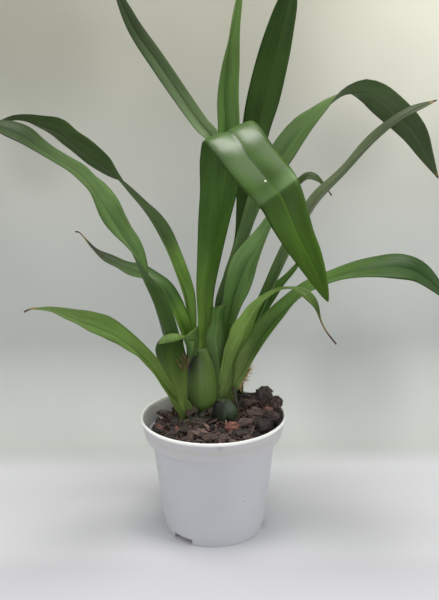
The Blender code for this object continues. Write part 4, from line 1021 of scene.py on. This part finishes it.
def rounded_section(row, power, ribs):
    """A ribbed ring: the higher the power, the squarer it is."""
    cx, cy, height, half_x, half_y = row
    ring = []
    for c, s in circle(BULB_SIDES):
        angle = math.atan2(s, c)
        reach = (abs(c) ** power + abs(s) ** power) ** (-1.0 / power)
        reach *= 1.0 + ribs * math.cos(RIB_COUNT * angle + 1.5 * math.sin(3.0 * angle))
        ring.append((cx + half_x * reach * c, cy + half_y * reach * s, height))
    return ring


def bulb(name, sections, power, ribs, finish):
    """A bulb through its sections, with a skin attribute for its finish."""
    low = sections[0][2]
    tall = sections[-1][2] - low
    points = []
    faces = []
    for row in smooth_rows(sections, BULB_STEP):
        points += rounded_section(row, power, ribs)
    rings = [range(a, a + BULB_SIDES) for a in range(0, len(points), BULB_SIDES)]
    faces += [tuple(reversed(rings[0])), tuple(rings[-1])]
    for under, over in zip(rings, rings[1:]):
        faces += band(under, over)
    piece = mesh_object(name, points, faces)
    corners = circle(BULB_SIDES) * len(rings)
    marks = [(c, s, (point[2] - low) / tall) for (c, s), point in zip(corners, points)]
    store(piece.data, "skin", "FLOAT_VECTOR", marks)
    piece.data.materials.append(finish)
    piece.data.shade_smooth()
    piece.data.set_sharp_from_angle(angle=math.radians(50.0))
    print(name, len(faces), "faces")
    return piece


# %% The finish of a pseudobulb
def shaded(colour, factor):
    return tuple(min(v * factor, 255.0) for v in colour)


def bulb_finish(name, dark, light, foot, top):
    material, graph, shader = new_finish(name, Coat_Weight=0.04, Specular_IOR_Level=0.35)
    x, y, height = graph.parts(stored(graph, "skin", "Vector"))
    bands = graph.noise((x * 3.2, y * 3.2, height * 0.5), 3.0, 0.55)
    lines = graph.noise((x * 11.0, y * 11.0, height * 1.1), 4.0, 0.6)
    mottle = graph.noise((x * 5.0, y * 5.0, height * 6.0), 4.0, 0.6)
    colour = graph.mix(graph.step(bands, 0.35, 0.65), paint(*dark), paint(*light))
    colour = graph.mix(graph.step(lines, 0.5, 0.72) * 0.22, colour, paint(*shaded(light, 1.2)))
    colour = graph.mix(graph.step(mottle, 0.55, 0.8) * 0.2, colour, paint(*shaded(dark, 0.8)))
    # Painted light and shade that even out how the lamps fall on the bulb: darker at its left, paler at its
    # right and darker over its upper half
    colour = colour * (1.45 + x * 1.15 - graph.step(height, 0.5, 0.9) * 0.74)
    colour = graph.mix(graph.step(height, 0.3, 0.08) * 0.7, colour, paint(*foot))
    colour = graph.mix(graph.step(height, 0.955, 0.985), colour, paint(*top))
    surface(graph, shader, colour, 0.32 + mottle * 0.2, lines + mottle * 0.4, 0.3, 0.8 * MM)
    return material


# %% Make both bulbs: each section is its middle x, y and z, then half its width and half its depth
MAIN_BULB = (
    (-10, 28, 84.3, 6.5, 5.5), (-10.3, 28, 92, 10.5, 8.5), (-10.5, 28, 97, 13, 10),
    (-10.5, 28, 103, 14.8, 10.8), (-10.5, 28, 112, 15.3, 11), (-10.6, 28, 123, 14, 10.6),
    (-11, 28.3, 134, 11.6, 9.2), (-11.4, 29, 142, 8.4, 7.2), (-11, 29.5, 146.6, 5.6, 5),
)
OLD_BULB = (
    (9.8, -1, 84.3, 8, 6.5), (9.7, -1, 91, 10.6, 8), (9.6, -1, 97, 10.9, 8.3), (9.5, -1, 101, 10.2, 7.8),
    (9, -0.6, 105.5, 8.6, 6.6), (8.4, -0.2, 109, 6.4, 4.8), (8, 0, 110.8, 4.2, 3),
)
FRESH_SKIN = bulb_finish("fresh_bulb_skin", (84, 108, 54), (89, 113, 56), (92, 112, 48), (108, 136, 80))
SPENT_SKIN = bulb_finish("spent_bulb_skin", (28, 39, 24), (38, 50, 33), (38, 46, 26), (60, 70, 45))
fresh = bulb("fresh_pseudobulb", MAIN_BULB, 1.75, 0.002, FRESH_SKIN)
spent = bulb("spent_pseudobulb", OLD_BULB, 1.3, 0.008, SPENT_SKIN)
hand_over(fresh, "main_pseudobulb")
hand_over(spent, "old_pseudobulb")

# %% [markdown]
# ## The root
#
# One root leaves the clump, bends over and goes down into the bark. Its skin is grey-green and felted,
# with fine hairs, and painted darker as painted shade, for it stands behind the old bulb. It is a tube
# along a path, so the thread tree makes it, only thicker.

# %% Grow the root
ROOT_PATH = ((17, 12.5, 116), (18.3, 9.5, 111), (19.6, 6, 105), (20.6, 3, 98), (21.2, 1, 91), (21.5, 0, 84.8))
# The root's grey-green is painted darker: painted shade behind the old bulb
ROOT_SKIN = dry_finish("root_skin", (44, 42, 32), (74, 74, 54))
root_run = smooth_rows(ROOT_PATH, 1.2)
root_tube = grow("root_tube", line_object(root_run), THREAD, thickness=1.5 * MM, sides=16, finish=ROOT_SKIN)
hairs = []
for i in range(60):
    middle = dice.choice(root_run[: len(root_run) * 3 // 4])
    angle = dice.uniform(0.0, 2.0 * math.pi)
    way = (math.cos(angle), math.sin(angle) * 0.8, dice.uniform(-0.2, 0.5))
    hairs.append((Vector(middle) + Vector(way) * 1.2, way, dice.uniform(2.0, 4.0), 0.2))
root_hairs = threads("root_hairs", hairs, 71, 0.22, thickness=0.12 * MM, sides=4, finish=ROOT_SKIN)
hand_over(joined("aerial_root_felt", [root_tube, root_hairs]), "aerial_root")

# %% [markdown]
# ## The pot
#
# A blown plastic pot is turned round its axis: a foot ring with three notches, a tapering body, a ledge
# and a rim band with a thin lip that is painted bright, a painted highlight. The wall's section is turned
# here with enough sides that the band and the lip stay round, and the notches and drain holes are cut out.


# %% Turn the pot
SECTION = (
    (0.0, 0.0), (12.0, 0.0), (12.0, 5.0), (39.5, 5.0), (39.5, 0.0), (41.3, 0.0), (41.8, 0.2), (42.0, 0.7),
    (42.2, 5.6), (42.5, 6.0), (42.9, 6.4), (51.3, 80.0), (51.6, 80.5), (52.4, 80.8), (55.6, 80.9),
    (56.3, 81.1), (56.6, 81.7), (59.4, 95.6), (59.8, 96.1), (60.0, 96.6), (60.0, 97.3), (59.8, 97.8),
    (59.4, 98.0), (58.9, 98.0), (58.5, 97.8), (58.3, 97.2), (55.2, 82.7), (54.8, 82.4), (50.4, 82.1),
    (50.0, 81.6), (40.7, 8.5), (40.1, 7.2), (38.8, 6.5), (0.0, 6.5),
)
POT_SIDES = 144


def turned(name, section, sides):
    """A closed solid turned round Z from (radius, height) pairs that start and end on the axis."""
    (_, foot), *profile, (_, top) = section
    points = [(0.0, 0.0, foot)]
    for radius, height in profile:
        points += [(radius * c, radius * s, height) for c, s in circle(sides)]
    points.append((0.0, 0.0, top))
    rings = [range(a, a + sides) for a in range(1, len(points) - 1, sides)]
    faces = [(0, b, a) for a, b, *_ in band(rings[0], rings[0])]
    for low, high in zip(rings, rings[1:]):
        faces += band(low, high)
    faces += [(a, b, len(points) - 1) for a, b, *_ in band(rings[-1], rings[-1])]
    return mesh_object(name, points, faces)


pot = turned("nursery_pot", SECTION, POT_SIDES)

# %% Cut the notches and the drain holes
NOTCH_TURNS = (-128.0, -8.0, 112.0)
NOTCH = Matrix.Translation((0.041, 0.0, 0.0)) @ Matrix.Diagonal((0.008, 0.019, 0.0092, 1.0))
DRAINS = 6
DRAIN_RING = 27.0 * MM
DRAIN_RADIUS = 4.5 * MM
cutters = bpy.data.collections.new("cutters")
bpy.context.scene.collection.children.link(cutters)


def add_cutter(work, place):
    """Put the form in its place and keep it among the cutters."""
    bmesh.ops.transform(work, matrix=place, verts=work.verts)
    mesh = bpy.data.meshes.new("cutter")
    work.to_mesh(mesh)
    work.free()
    cutters.objects.link(bpy.data.objects.new("cutter", mesh))


for turn in NOTCH_TURNS:
    work = bmesh.new()
    bmesh.ops.create_cube(work, size=1.0)
    add_cutter(work, Matrix.Rotation(math.radians(turn), 4, "Z") @ NOTCH)
for i in range(DRAINS):
    angle = math.radians(32.0 + 360.0 * i / DRAINS)
    work = bmesh.new()
    radii = {"radius1": DRAIN_RADIUS, "radius2": DRAIN_RADIUS}
    bmesh.ops.create_cone(work, cap_ends=True, segments=24, depth=8.0 * MM, **radii)
    place = Vector((DRAIN_RING * math.cos(angle), DRAIN_RING * math.sin(angle), 5.5 * MM))
    add_cutter(work, Matrix.Translation(place))
cut = pot.modifiers.new("cut", "BOOLEAN")
cut.operation = "DIFFERENCE"
cut.operand_type = "COLLECTION"
cut.collection = cutters
cut.solver = "MANIFOLD"
depsgraph = bpy.context.evaluated_depsgraph_get()
pot_mesh = bpy.data.meshes.new_from_object(pot.evaluated_get(depsgraph))
pot.modifiers.clear()
pot.data = pot_mesh


def drop(collection):
    """Remove a collection and all that it holds."""
    for thing in list(collection.objects):
        bpy.data.objects.remove(thing, do_unlink=True)
    bpy.data.collections.remove(collection)


drop(cutters)
pot_mesh.shade_smooth()
pot_mesh.set_sharp_from_angle(angle=math.radians(32.0))
print("pot:", len(pot_mesh.polygons), "faces")


# %% The pot's finish: its marks are x, y, z, reach and strength
POT_MARKS = (
    (0.0547, -0.0184, 0.0873, 0.001, 0.7), (0.0243, -0.0399, 0.0396, 0.0008, 0.6),
    (0.0187, -0.0438, 0.0478, 0.0006, 0.4), (-0.039, -0.026, 0.0412, 0.0006, 0.5),
    (0.006, -0.0586, 0.0935, 0.0035, 0.18),
)


def pot_finish():
    """White plastic. The band above the bark is painted a little paler than the body, as painted light for
    the light that comes through it, and the lip is painted near white as a painted highlight.
    """
    material, graph, shader = new_finish("white_plastic", Coat_Weight=0.06, Coat_Roughness=0.25)
    place = object_place(graph)
    x, y, height = graph.parts(place)
    cloud = graph.noise(place, 3.0, 0.5, 22.0)
    grain = graph.noise(place, 2.0, 0.5, 900.0)
    colour = graph.mix(graph.step(cloud, 0.35, 0.7) * 0.5, paint(194, 195, 200), paint(186, 188, 194))
    # Painted light: the band a little paler, and the lip painted near white as a painted highlight
    colour = graph.mix(graph.step(height, 0.0795, 0.082), colour, paint(194, 193, 196))
    colour = graph.mix(graph.step(height, 0.0945, 0.0965), colour, paint(250, 250, 248))
    inside = graph.step(height, 0.084, 0.09) * graph.step((x * x + y * y).maths("SQRT"), 0.0588, 0.0578)
    soil = graph.noise(place, 4.0, 0.6, 120.0)
    colour = graph.mix(inside * (graph.step(soil, 0.35, 0.75) * 0.35 + 0.3), colour, paint(186, 182, 168))
    for *spot, reach, share in POT_MARKS:
        away = (place - spot).maths("LENGTH")
        colour = graph.mix(graph.step(away, reach, reach * 0.5) * share, colour, paint(96, 88, 82))
    smudge = graph.noise(place, 3.0, 0.6, 60.0)
    colour = graph.mix(graph.step(smudge, 0.66, 0.8) * 0.25, colour, paint(176, 170, 160))
    surface(graph, shader, colour, 0.3 + cloud * 0.16, grain + cloud * 2.0, 0.12, 0.3 * MM)
    return material


pot_mesh.materials.clear()
pot_mesh.materials.append(pot_finish())
hand_over(pot, "pot")

# %% [markdown]
# ## Bark
#
# Orchid bark is a heap of angular chips about a centimetre long. A few rough forms are enough: the
# tree scatters them over the bed, picks a form for each point, and turns and sizes it at random. Each
# chip keeps a number for its tone and the place of every point in its own form, so that the grain of
# the finish turns with the chip. A bed below closes the gaps: with no tone of its own it takes the
# darkest bark tone, painted shade for the deep gaps between the chips.

# %% The bed under the chips: stems and heaps are x, y and their sizes
HEAPS = ((-5.0, 22.0, 4.5, 28.0), (42.0, 16.0, 9.0, 20.0))
STEMS = ((-11.0, 25.0, 14.5, 11.5), (9.8, -1.0, 9.5, 7.5), (-27.0, 18.0, 6.0, 6.0), (-24.0, 8.0, 7.0, 5.0),
         (15.0, 20.0, 6.5, 7.0), (5.0, 44.0, 17.0, 6.0), (20.0, 38.0, 7.0, 6.0), (-24.0, 36.0, 6.0, 9.0))
BED_SIDES = 72
BED_RINGS = 14


def bark_height(x, y):
    height = 89.0 + 0.08 * x
    for heap_x, heap_y, lift, spread in HEAPS:
        height += lift * math.exp(-((x - heap_x) ** 2 + (y - heap_y) ** 2) / spread ** 2)
    return height


def clear_of_stems(x, y, margin=1.0):
    return all(((x - cx) / hx) ** 2 + ((y - cy) / hy) ** 2 > margin for cx, cy, hx, hy in STEMS)


def bed_disc(rim, sink):
    """The points and faces of a round sheet that follows the bark's height."""
    points = []
    faces = []
    for ring in range(BED_RINGS):
        reach = rim * (1.0 - ring / BED_RINGS)
        for c, s in circle(BED_SIDES):
            points.append((reach * c, reach * s, bark_height(reach * c, reach * s) - sink))
    rings = [range(a, a + BED_SIDES) for a in range(0, len(points), BED_SIDES)]
    for outer, inner in zip(rings, rings[1:]):
        faces += band(outer, inner)
    faces += [(a, b, len(points)) for a, b, *_ in band(rings[-1], rings[-1])]
    points.append((0.0, 0.0, bark_height(0.0, 0.0) - sink))
    return points, faces


def open_bed(name, rim, sink):
    """A sheet for chips to lie on: holes are left open where stems stand."""
    points, faces = bed_disc(rim, sink)
    kept = []
    for face in faces:
        x = sum(points[k][0] for k in face) / len(face)
        y = sum(points[k][1] for k in face) / len(face)
        if clear_of_stems(x, y):
            kept.append(face)
    return mesh_object(name, points, kept)


def closed_bed(name, rim, sink, lower_rings):
    """A solid bed that goes down through rings of the given radius and height."""
    points, faces = bed_disc(rim, sink)
    above = range(BED_SIDES)
    for radius, height in lower_rings:
        below = range(len(points), len(points) + BED_SIDES)
        points += [(radius * c, radius * s, height) for c, s in circle(BED_SIDES)]
        faces += band(below, above)
        above = below
    faces.append(tuple(reversed(above)))
    return mesh_object(name, points, faces)


# %% A few chip forms
# Without a seed this noise follows the clock, and each run would make other chips
CHIP_SEED = 1795842996
noise.seed_set(CHIP_SEED)
FORM_SHAPES = (
    (13.0, 8.5, 6.0), (10.0, 9.0, 5.0), (15.0, 7.0, 6.5), (9.0, 8.0, 7.5), (12.0, 6.5, 4.0),
    (11.0, 10.0, 7.0),
)
FLAKE_SHAPES = ((12.0, 3.2, 1.4), (9.0, 4.0, 1.2), (14.0, 2.4, 1.8), (7.0, 4.5, 1.0))


def chip_form(seed, shape, cuts=2, crumble=0.0):
    """A lump: a cube rounded off and pushed about by noise, with steps like torn layers."""
    work = bmesh.new()
    bmesh.ops.create_cube(work, size=1.0)
    bmesh.ops.subdivide_edges(work, edges=work.edges, cuts=cuts, use_grid_fill=True)
    start = Vector((seed * 3.1, 0.0, 0.0))
    for vertex in work.verts:
        place = vertex.co.copy()
        place = place.lerp(place.normalized() * 0.56, 0.55)
        layer = 0.07 * (1.0 if math.sin(place.z * 17.0 + seed) > 0.0 else -1.0)
        rough = noise.noise_vector(place * 6.0 + start) * 0.1
        rough += noise.noise_vector(place * 14.0 + start) * 0.05
        place += noise.noise_vector(place * 1.7 + start) * 0.26 + rough * crumble
        place.x *= 1.0 + layer
        place.y *= 1.0 - layer
        vertex.co = [v * size * MM for v, size in zip(place, shape)]
    mesh = bpy.data.meshes.new("chip_form")
    work.to_mesh(mesh)
    work.free()
    store(mesh, "grain", "FLOAT_VECTOR", [vertex.co + start * 0.6 for vertex in mesh.vertices])
    return bpy.data.objects.new("chip_form", mesh)


def form_set(name, shapes, seed):
    kept = bpy.data.collections.new(name)
    for number, shape in enumerate(shapes):
        kept.objects.link(chip_form(seed + number, shape))
    return kept


chip_forms = form_set("chip_forms", FORM_SHAPES, 1.0)
flake_forms = form_set("flake_forms", FLAKE_SHAPES, 11.0)


# %% The scatter tree
SCATTER_NUMBERS = ("Spacing", "Density", "Smallest", "Largest", "Tilt", "Lift")


def scatter_tree():
    sockets = [("Forms", "Collection"), *((name, "Float") for name in SCATTER_NUMBERS), ("Seed", "Int")]
    tree, graph, given = new_tree("Scatter chips", sockets)
    seed = given["Seed"]
    parts = {"Mesh": given["Geometry"], "Distance Min": given["Spacing"], "Seed": seed}
    parts["Density Max"] = given["Density"]
    settings = {"distribute_method": "POISSON"}
    points = graph.node("GeometryNodeDistributePointsOnFaces", settings, parts, "Points")

    def chance(kind, low, high, shift):
        parts = {"Min": low, "Max": high, "Seed": seed + shift}
        return graph.node("FunctionNodeRandomValue", {"data_type": kind}, parts, "Value")

    rise = graph.vector(0.0, 0.0, chance("FLOAT", given["Lift"] * -1.0, given["Lift"], 1.0))
    points = graph.node("GeometryNodeSetPosition", {}, {"Geometry": points, "Offset": rise})
    lean = chance("FLOAT_VECTOR", (-1.0, -1.0, -3.14), (1.0, 1.0, 3.14), 2.0)
    lean = lean * graph.vector(given["Tilt"], given["Tilt"], 1.0)
    turn = graph.node("FunctionNodeEulerToRotation", {}, {0: lean})
    parts = {"Collection": given["Forms"], "Separate Children": True, "Reset Children": True}
    choice = graph.node("GeometryNodeCollectionInfo", {}, parts)
    size = graph.vector(1.0, 1.0, 1.0) * chance("FLOAT", given["Smallest"], given["Largest"], 3.0)
    parts = {"Points": points, "Instance": choice, "Pick Instance": True, "Rotation": turn, "Scale": size}
    chips = graph.node("GeometryNodeInstanceOnPoints", {}, parts)
    tone = {"Geometry": chips, "Name": "tone", "Value": chance("FLOAT", 0.0, 1.0, 4.0)}
    chips = graph.node("GeometryNodeStoreNamedAttribute", {"data_type": "FLOAT", "domain": "INSTANCE"}, tone)
    end_tree(graph, given, chips)
    return tree


SCATTER = scatter_tree()
print("scatter tree:", len(SCATTER.nodes), "nodes")


# %% The finish of bark
TONES = (
    (0.0, paint(27, 23, 23)), (0.3, paint(48, 40, 38)), (0.55, paint(82, 66, 62)), (0.8, paint(104, 84, 78)),
    (0.93, paint(122, 88, 80)), (1.0, paint(148, 90, 80)),
)


def bark_finish(name):
    material, graph, shader = new_finish(name)
    grain = stored(graph, "grain", "Vector")
    layers = graph.noise(grain * (90.0, 330.0, 560.0), 4.0, 0.65)
    rough = graph.noise(grain * 700.0, 5.0, 0.7)
    colour = graph.ramp(stored(graph, "tone"), TONES)
    colour = graph.mix(graph.step(layers, 0.52, 0.68) * 0.75, colour, colour * (2.5, 2.6, 2.6))
    colour = graph.mix(graph.step(layers, 0.47, 0.34) * 0.85, colour, paint(22, 18, 18))
    colour = graph.mix(graph.step(rough, 0.6, 0.74) * 0.5, colour, paint(160, 142, 124))

    # A darker green-brown where the bulb meets the bark
    near = (object_place(graph) - (-0.012, 0.006, 0.09)) * (0.8, 1.4, 1.0)
    dark_near_bulb_foot = graph.step(near.maths("LENGTH"), 0.03, 0.017)
    colour = graph.mix(dark_near_bulb_foot * 0.75, colour, paint(46, 49, 36))
    surface(graph, shader, colour, 0.62 + rough * 0.3, layers + rough * 0.6, 0.8, 1.2 * MM)
    return material


BARK_SKIN = bark_finish("bark_skin")

# %% Scatter the chips: two layers of chips, crumbs between them and flakes
# The bed has no tone of its own, so it takes the darkest bark tone: painted shade in the gaps between the
# chips
bed = closed_bed("bark_bed_core", 53.0, 4.0, ((49.0, 80.5), (40.0, 8.5)))
bed.data.materials.append(BARK_SKIN)
# Each layer is its forms, rim and sink, the spacing, the smallest and largest size, tilt, lift and seed
LAYERS = (
    ("low_chips", chip_forms, 49.0, 3.0, 6.2, 0.75, 1.05, 0.6, 1.0, 4),
    ("top_chips", chip_forms, 46.5, -0.5, 9.0, 0.7, 1.15, 0.8, 1.4, 9),
    ("crumbs", chip_forms, 49.5, -1.5, 3.4, 0.16, 0.42, 1.2, 1.5, 15),
    ("flakes", flake_forms, 48.0, -2.5, 4.4, 0.5, 1.0, 0.7, 2.0, 21),
)
layers = []
for name, forms, rim, sink, spacing, smallest, largest, tilt, lift, seed in LAYERS:
    layer = grow(name, open_bed(name, rim, sink), SCATTER, forms=forms, spacing=spacing * MM, density=60000.0,
                 smallest=smallest, largest=largest, tilt=tilt, lift=lift * MM, seed=seed, finish=BARK_SKIN)
    layers.append(layer)
drop(chip_forms)
drop(flake_forms)

# %% [markdown]
# The chips that catch the eye are shaped one by one: place, length, width, thickness, turn, lean, tone.
# They have far more faces than the scattered forms, so that torn layers and crumbs show on them.

# %% Lay the large chips
LARGE_CHIPS = (
    ((41.3, 21, 104.6), (14, 11, 13), 0.4, 0.35, 0.4), ((51.3, 8, 101), (9.5, 13, 14), 0.5, 0.2, 0.45),
    ((34, 18, 101), (14, 9, 9), 0.7, -0.7, 0.4), ((25, 28, 99), (11, 10, 9), 1.9, 0.4, 0.1),
    ((33, 37, 95), (14, 11, 10), 0.3, 0.2, 0.2), ((15.9, -19.5, 92.5), (12, 9.5, 7.5), 0.25, 0.1, 0.97),
    ((-9.6, -24.5, 90.5), (13, 9, 7), 1.3, 0.35, 0.68), ((-2, -33, 90.3), (14, 9, 7), 0.2, -0.3, 0.66),
    ((36, -5, 99), (16, 9, 8), 0.15, 0.35, 0.62), ((-31.5, -3, 90), (17, 9, 8), 1.5, 0.3, 0.25),
    ((-44, -4, 88.5), (13, 9, 7), 0.9, 0.4, 0.5), ((-45, -16, 87.5), (12, 10, 7), 2.2, 0.2, 0.15),
    ((-35, -28, 88.5), (14, 10, 8), 0.6, -0.3, 0.4), ((-22, -19, 89.5), (15, 8, 8), 1.2, 0.5, 0.3),
    ((7, -38, 91.5), (13, 9, 7), 2.8, 0.3, 0.55), ((24, -33, 93), (15, 10, 8), 0.5, 0.2, 0.35),
    ((39, -22, 96), (15, 10, 9), 1.0, 0.35, 0.2), ((48, -8, 98), (13, 10, 9), 2.0, 0.3, 0.45),
    ((-15, -38, 89), (13, 8, 7), 2.5, 0.2, 0.5), ((27, -15, 95.5), (12, 8, 7), 0.1, 0.2, 0.75),
    ((43, 23, 96), (12, 10, 9), 0.7, 0.4, 0.3),
)
for number, (place, size, turn, lean, tone) in enumerate(LARGE_CHIPS):
    chip = chip_form(20.0 + number * 1.7, size, cuts=9, crumble=1.0)
    way = Euler((lean, lean * 0.6, turn)).to_matrix().to_4x4()
    chip.data.transform(Matrix.Translation(Vector(place) * MM) @ way)
    store(chip.data, "tone", "FLOAT", [tone] * len(chip.data.vertices))
    chip.data.materials.append(BARK_SKIN)
    chip.data.shade_smooth()
    bpy.context.scene.collection.objects.link(chip)
    layers.append(chip)
bark = joined("bark_chips", layers)
print(len(LARGE_CHIPS), "large chips")

# %% Keep the bark in the pot
LEDGE = 82.6
BODY_WALL = 49.6
BAND_WALL = 54.9
BAND_SLOPE = 0.214
WIDEST_WALL = 58.2


def keep_in_pot(piece):
    """Bark that reaches into the plastic is pushed back to the pot's inner wall."""
    for vertex in piece.data.vertices:
        height = vertex.co.z / MM
        wall = BODY_WALL if height < LEDGE else min(BAND_WALL + (height - LEDGE) * BAND_SLOPE, WIDEST_WALL)
        reach = math.hypot(vertex.co.x, vertex.co.y) / MM
        if reach > wall:
            vertex.co.x *= wall / reach
            vertex.co.y *= wall / reach


keep_in_pot(bark)
keep_in_pot(bed)
bark.data.set_sharp_from_angle(angle=math.radians(50.0))

# %% Loose fibres on the bark
BARK_THREADS = dry_finish("bark_threads", (62, 48, 40), (138, 112, 84))
strands = []
for i in range(420):
    angle = dice.uniform(0.0, 2.0 * math.pi)
    reach = 50.0 * math.sqrt(dice.uniform(0.0, 1.0))
    x = reach * math.cos(angle)
    y = reach * math.sin(angle)
    if clear_of_stems(x, y, 1.1):
        start = (x, y, bark_height(x, y) + dice.uniform(1.0, 5.0))
        way = spread((-1.0, 1.0), (-1.0, 1.0), (-0.3, 0.3))
        strands.append((start, way, dice.uniform(3.0, 9.0), 0.15))
fibres = threads("bark_fibres", strands, 83, 0.35, thickness=0.26 * MM, sides=4, finish=BARK_THREADS)
for piece in (bed, bark, fibres):
    hand_over(piece, "bark_bed")

# %% [markdown]
# ## Floor, light and camera
#
# The plant is seen from a little above, by soft light from overhead and both sides, in front of a pale
# wall. The floor runs up into the wall in one sweep, so no line crosses the picture.


# %% The wall's finish: each painted shadow is x, z, reach and depth, and a depth below 0 paints light
WALL_PLACE = 0.21
WALL_SHADOWS_AND_LIGHT = (
    (-0.187, 0.421, 0.12, 0.2), (0.151, 0.055, 0.085, 0.18), (0.145, 0.317, 0.06, 0.12),
    (-0.189, 0.303, 0.05, 0.14), (0.192, 0.397, 0.14, -0.16), (0.2, 0.211, 0.12, -0.14),
    (-0.156, 0.258, 0.12, -0.07),
)
FLOOR_PAINT = paint(202, 202, 206)


def wall_finish():
    material, graph, shader = new_finish("pale_wall", Roughness=0.9, Specular_IOR_Level=0.1)
    place = object_place(graph)
    across, depth, height = graph.parts(place)
    # The wall is a little darker and warmer towards its top. Over that come a painted pool of light at the
    # upper right, soft patches of painted light and shade, and the painted shadows and pools of light listed
    # above
    wall = graph.mix(graph.step(height, 0.1, 0.5), paint(180, 183, 180), paint(172, 171, 157))
    painted_light = graph.step(across, 0.02, 0.3) * graph.step(height, 0.2, 0.5)
    wall = graph.mix(painted_light, wall, paint(218, 217, 203))
    wall = wall * (graph.noise(place * (5.0, 0.0, 4.0), 3.0) * 0.22 + 0.9)
    for x, z, reach, share in WALL_SHADOWS_AND_LIGHT:
        gap = (place - (x, WALL_PLACE, z)) * (1.0, 0.0, 1.0)
        wall = wall * (1.0 - graph.step(gap.maths("LENGTH"), reach, reach * 0.25) * share)
    near = graph.mix(graph.step(depth, -0.045, -0.075), FLOOR_PAINT, paint(194, 193, 199))
    graph.feed(shader.inputs["Base Color"], graph.mix(graph.step(depth, 0.095, 0.14), near, wall))
    # The wall stands close behind the plant, so only its front face is there: the back stays open to view
    graph.feed(shader.inputs["Alpha"], 1.0 - graph.node("ShaderNodeNewGeometry", output="Backfacing"))
    return material


# %% The sweep and the floor behind it
REACH = 1800.0
BEND_START = 110.0
BEND = 100.0
BEND_STEPS = 16


def sweep():
    line = [(-1600.0, 0.0)]
    for i in range(BEND_STEPS + 1):
        angle = math.pi / 2.0 * i / BEND_STEPS
        line.append((BEND_START + BEND * math.sin(angle), BEND - BEND * math.cos(angle)))
    line.append((BEND_START + BEND, REACH))
    points = [(side, y, z) for y, z in line for side in (-REACH, REACH)]
    faces = [(a, a + 1, a + 3, a + 2) for a in range(0, len(points) - 2, 2)]
    piece = mesh_object("sweep", points, faces)
    piece.data.shade_smooth()
    piece.data.materials.append(wall_finish())


def floor_behind():
    low = -0.4
    corners = [(-REACH, BEND_START, low), (REACH, BEND_START, low), (REACH, REACH, low), (-REACH, REACH, low)]
    piece = mesh_object("floor_behind", corners, [(0, 1, 2, 3)])
    colour = (*FLOOR_PAINT, 1.0)
    finish = new_finish("pale_floor", Roughness=0.9, Specular_IOR_Level=0.1, Base_Color=colour)[0]
    piece.data.materials.append(finish)


sweep()
floor_behind()


# %% Soft light
WHITE = (0.99, 1.0, 0.99)


def soft_box(name, place, target, size, power, tint):
    lamp = bpy.data.lights.new(name, "AREA")
    lamp.shape = "RECTANGLE"
    lamp.size, lamp.size_y = size
    lamp.energy = power
    lamp.color = tint
    holder = add_object(name, lamp)
    holder.location = place
    holder.rotation_euler = (Vector(target) - Vector(place)).to_track_quat("-Z", "Y").to_euler()


soft_box("overhead", (0.0, -0.12, 1.3), (0.0, 0.0, 0.1), (0.6, 0.5), 11.0, (1.0, 0.99, 0.95))
soft_box("front", (0.0, -1.35, 0.4), (0.0, 0.0, 0.14), (0.9, 0.7), 3.6, (1.0, 1.0, 0.98))
soft_box("left", (-1.1, -0.35, 0.75), (0.0, 0.0, 0.2), (0.7, 1.0), 4.0, WHITE)
soft_box("right", (1.1, -0.35, 0.75), (0.0, 0.0, 0.2), (0.7, 1.0), 6.2, WHITE)
world = bpy.data.worlds.new("room")
world.use_nodes = True
sky = world.node_tree.nodes["Background"]
sky.inputs["Color"].default_value = (0.97, 0.99, 1.0, 1.0)
sky.inputs["Strength"].default_value = 0.34
bpy.context.scene.world = world
bpy.context.scene.view_settings.view_transform = "Standard"
print(len(bpy.data.lights), "lamps and a room")

# %% The camera
PITCH = math.radians(13.1)
YAW = math.radians(-0.7)
ROLL = math.radians(-0.72)
forward = Vector((math.sin(YAW) * math.cos(PITCH), math.cos(YAW) * math.cos(PITCH), -math.sin(PITCH)))
level = Vector((math.cos(YAW), -math.sin(YAW), 0.0))
upright = level.cross(forward)
right = math.cos(ROLL) * level + math.sin(ROLL) * upright
above = math.cos(ROLL) * upright - math.sin(ROLL) * level
lens = bpy.data.cameras.new("camera")
lens.sensor_fit = "VERTICAL"
lens.sensor_height = 36.0
lens.sensor_width = 36.0
lens.lens = 42.0
camera = add_object("camera", lens)
turned_to = Matrix((right, above, -forward)).transposed().to_4x4()
camera.matrix_world = Matrix.Translation((0.013, -0.546, 0.322)) @ turned_to
bpy.context.scene.camera = camera
print("camera at", tuple(camera.location))
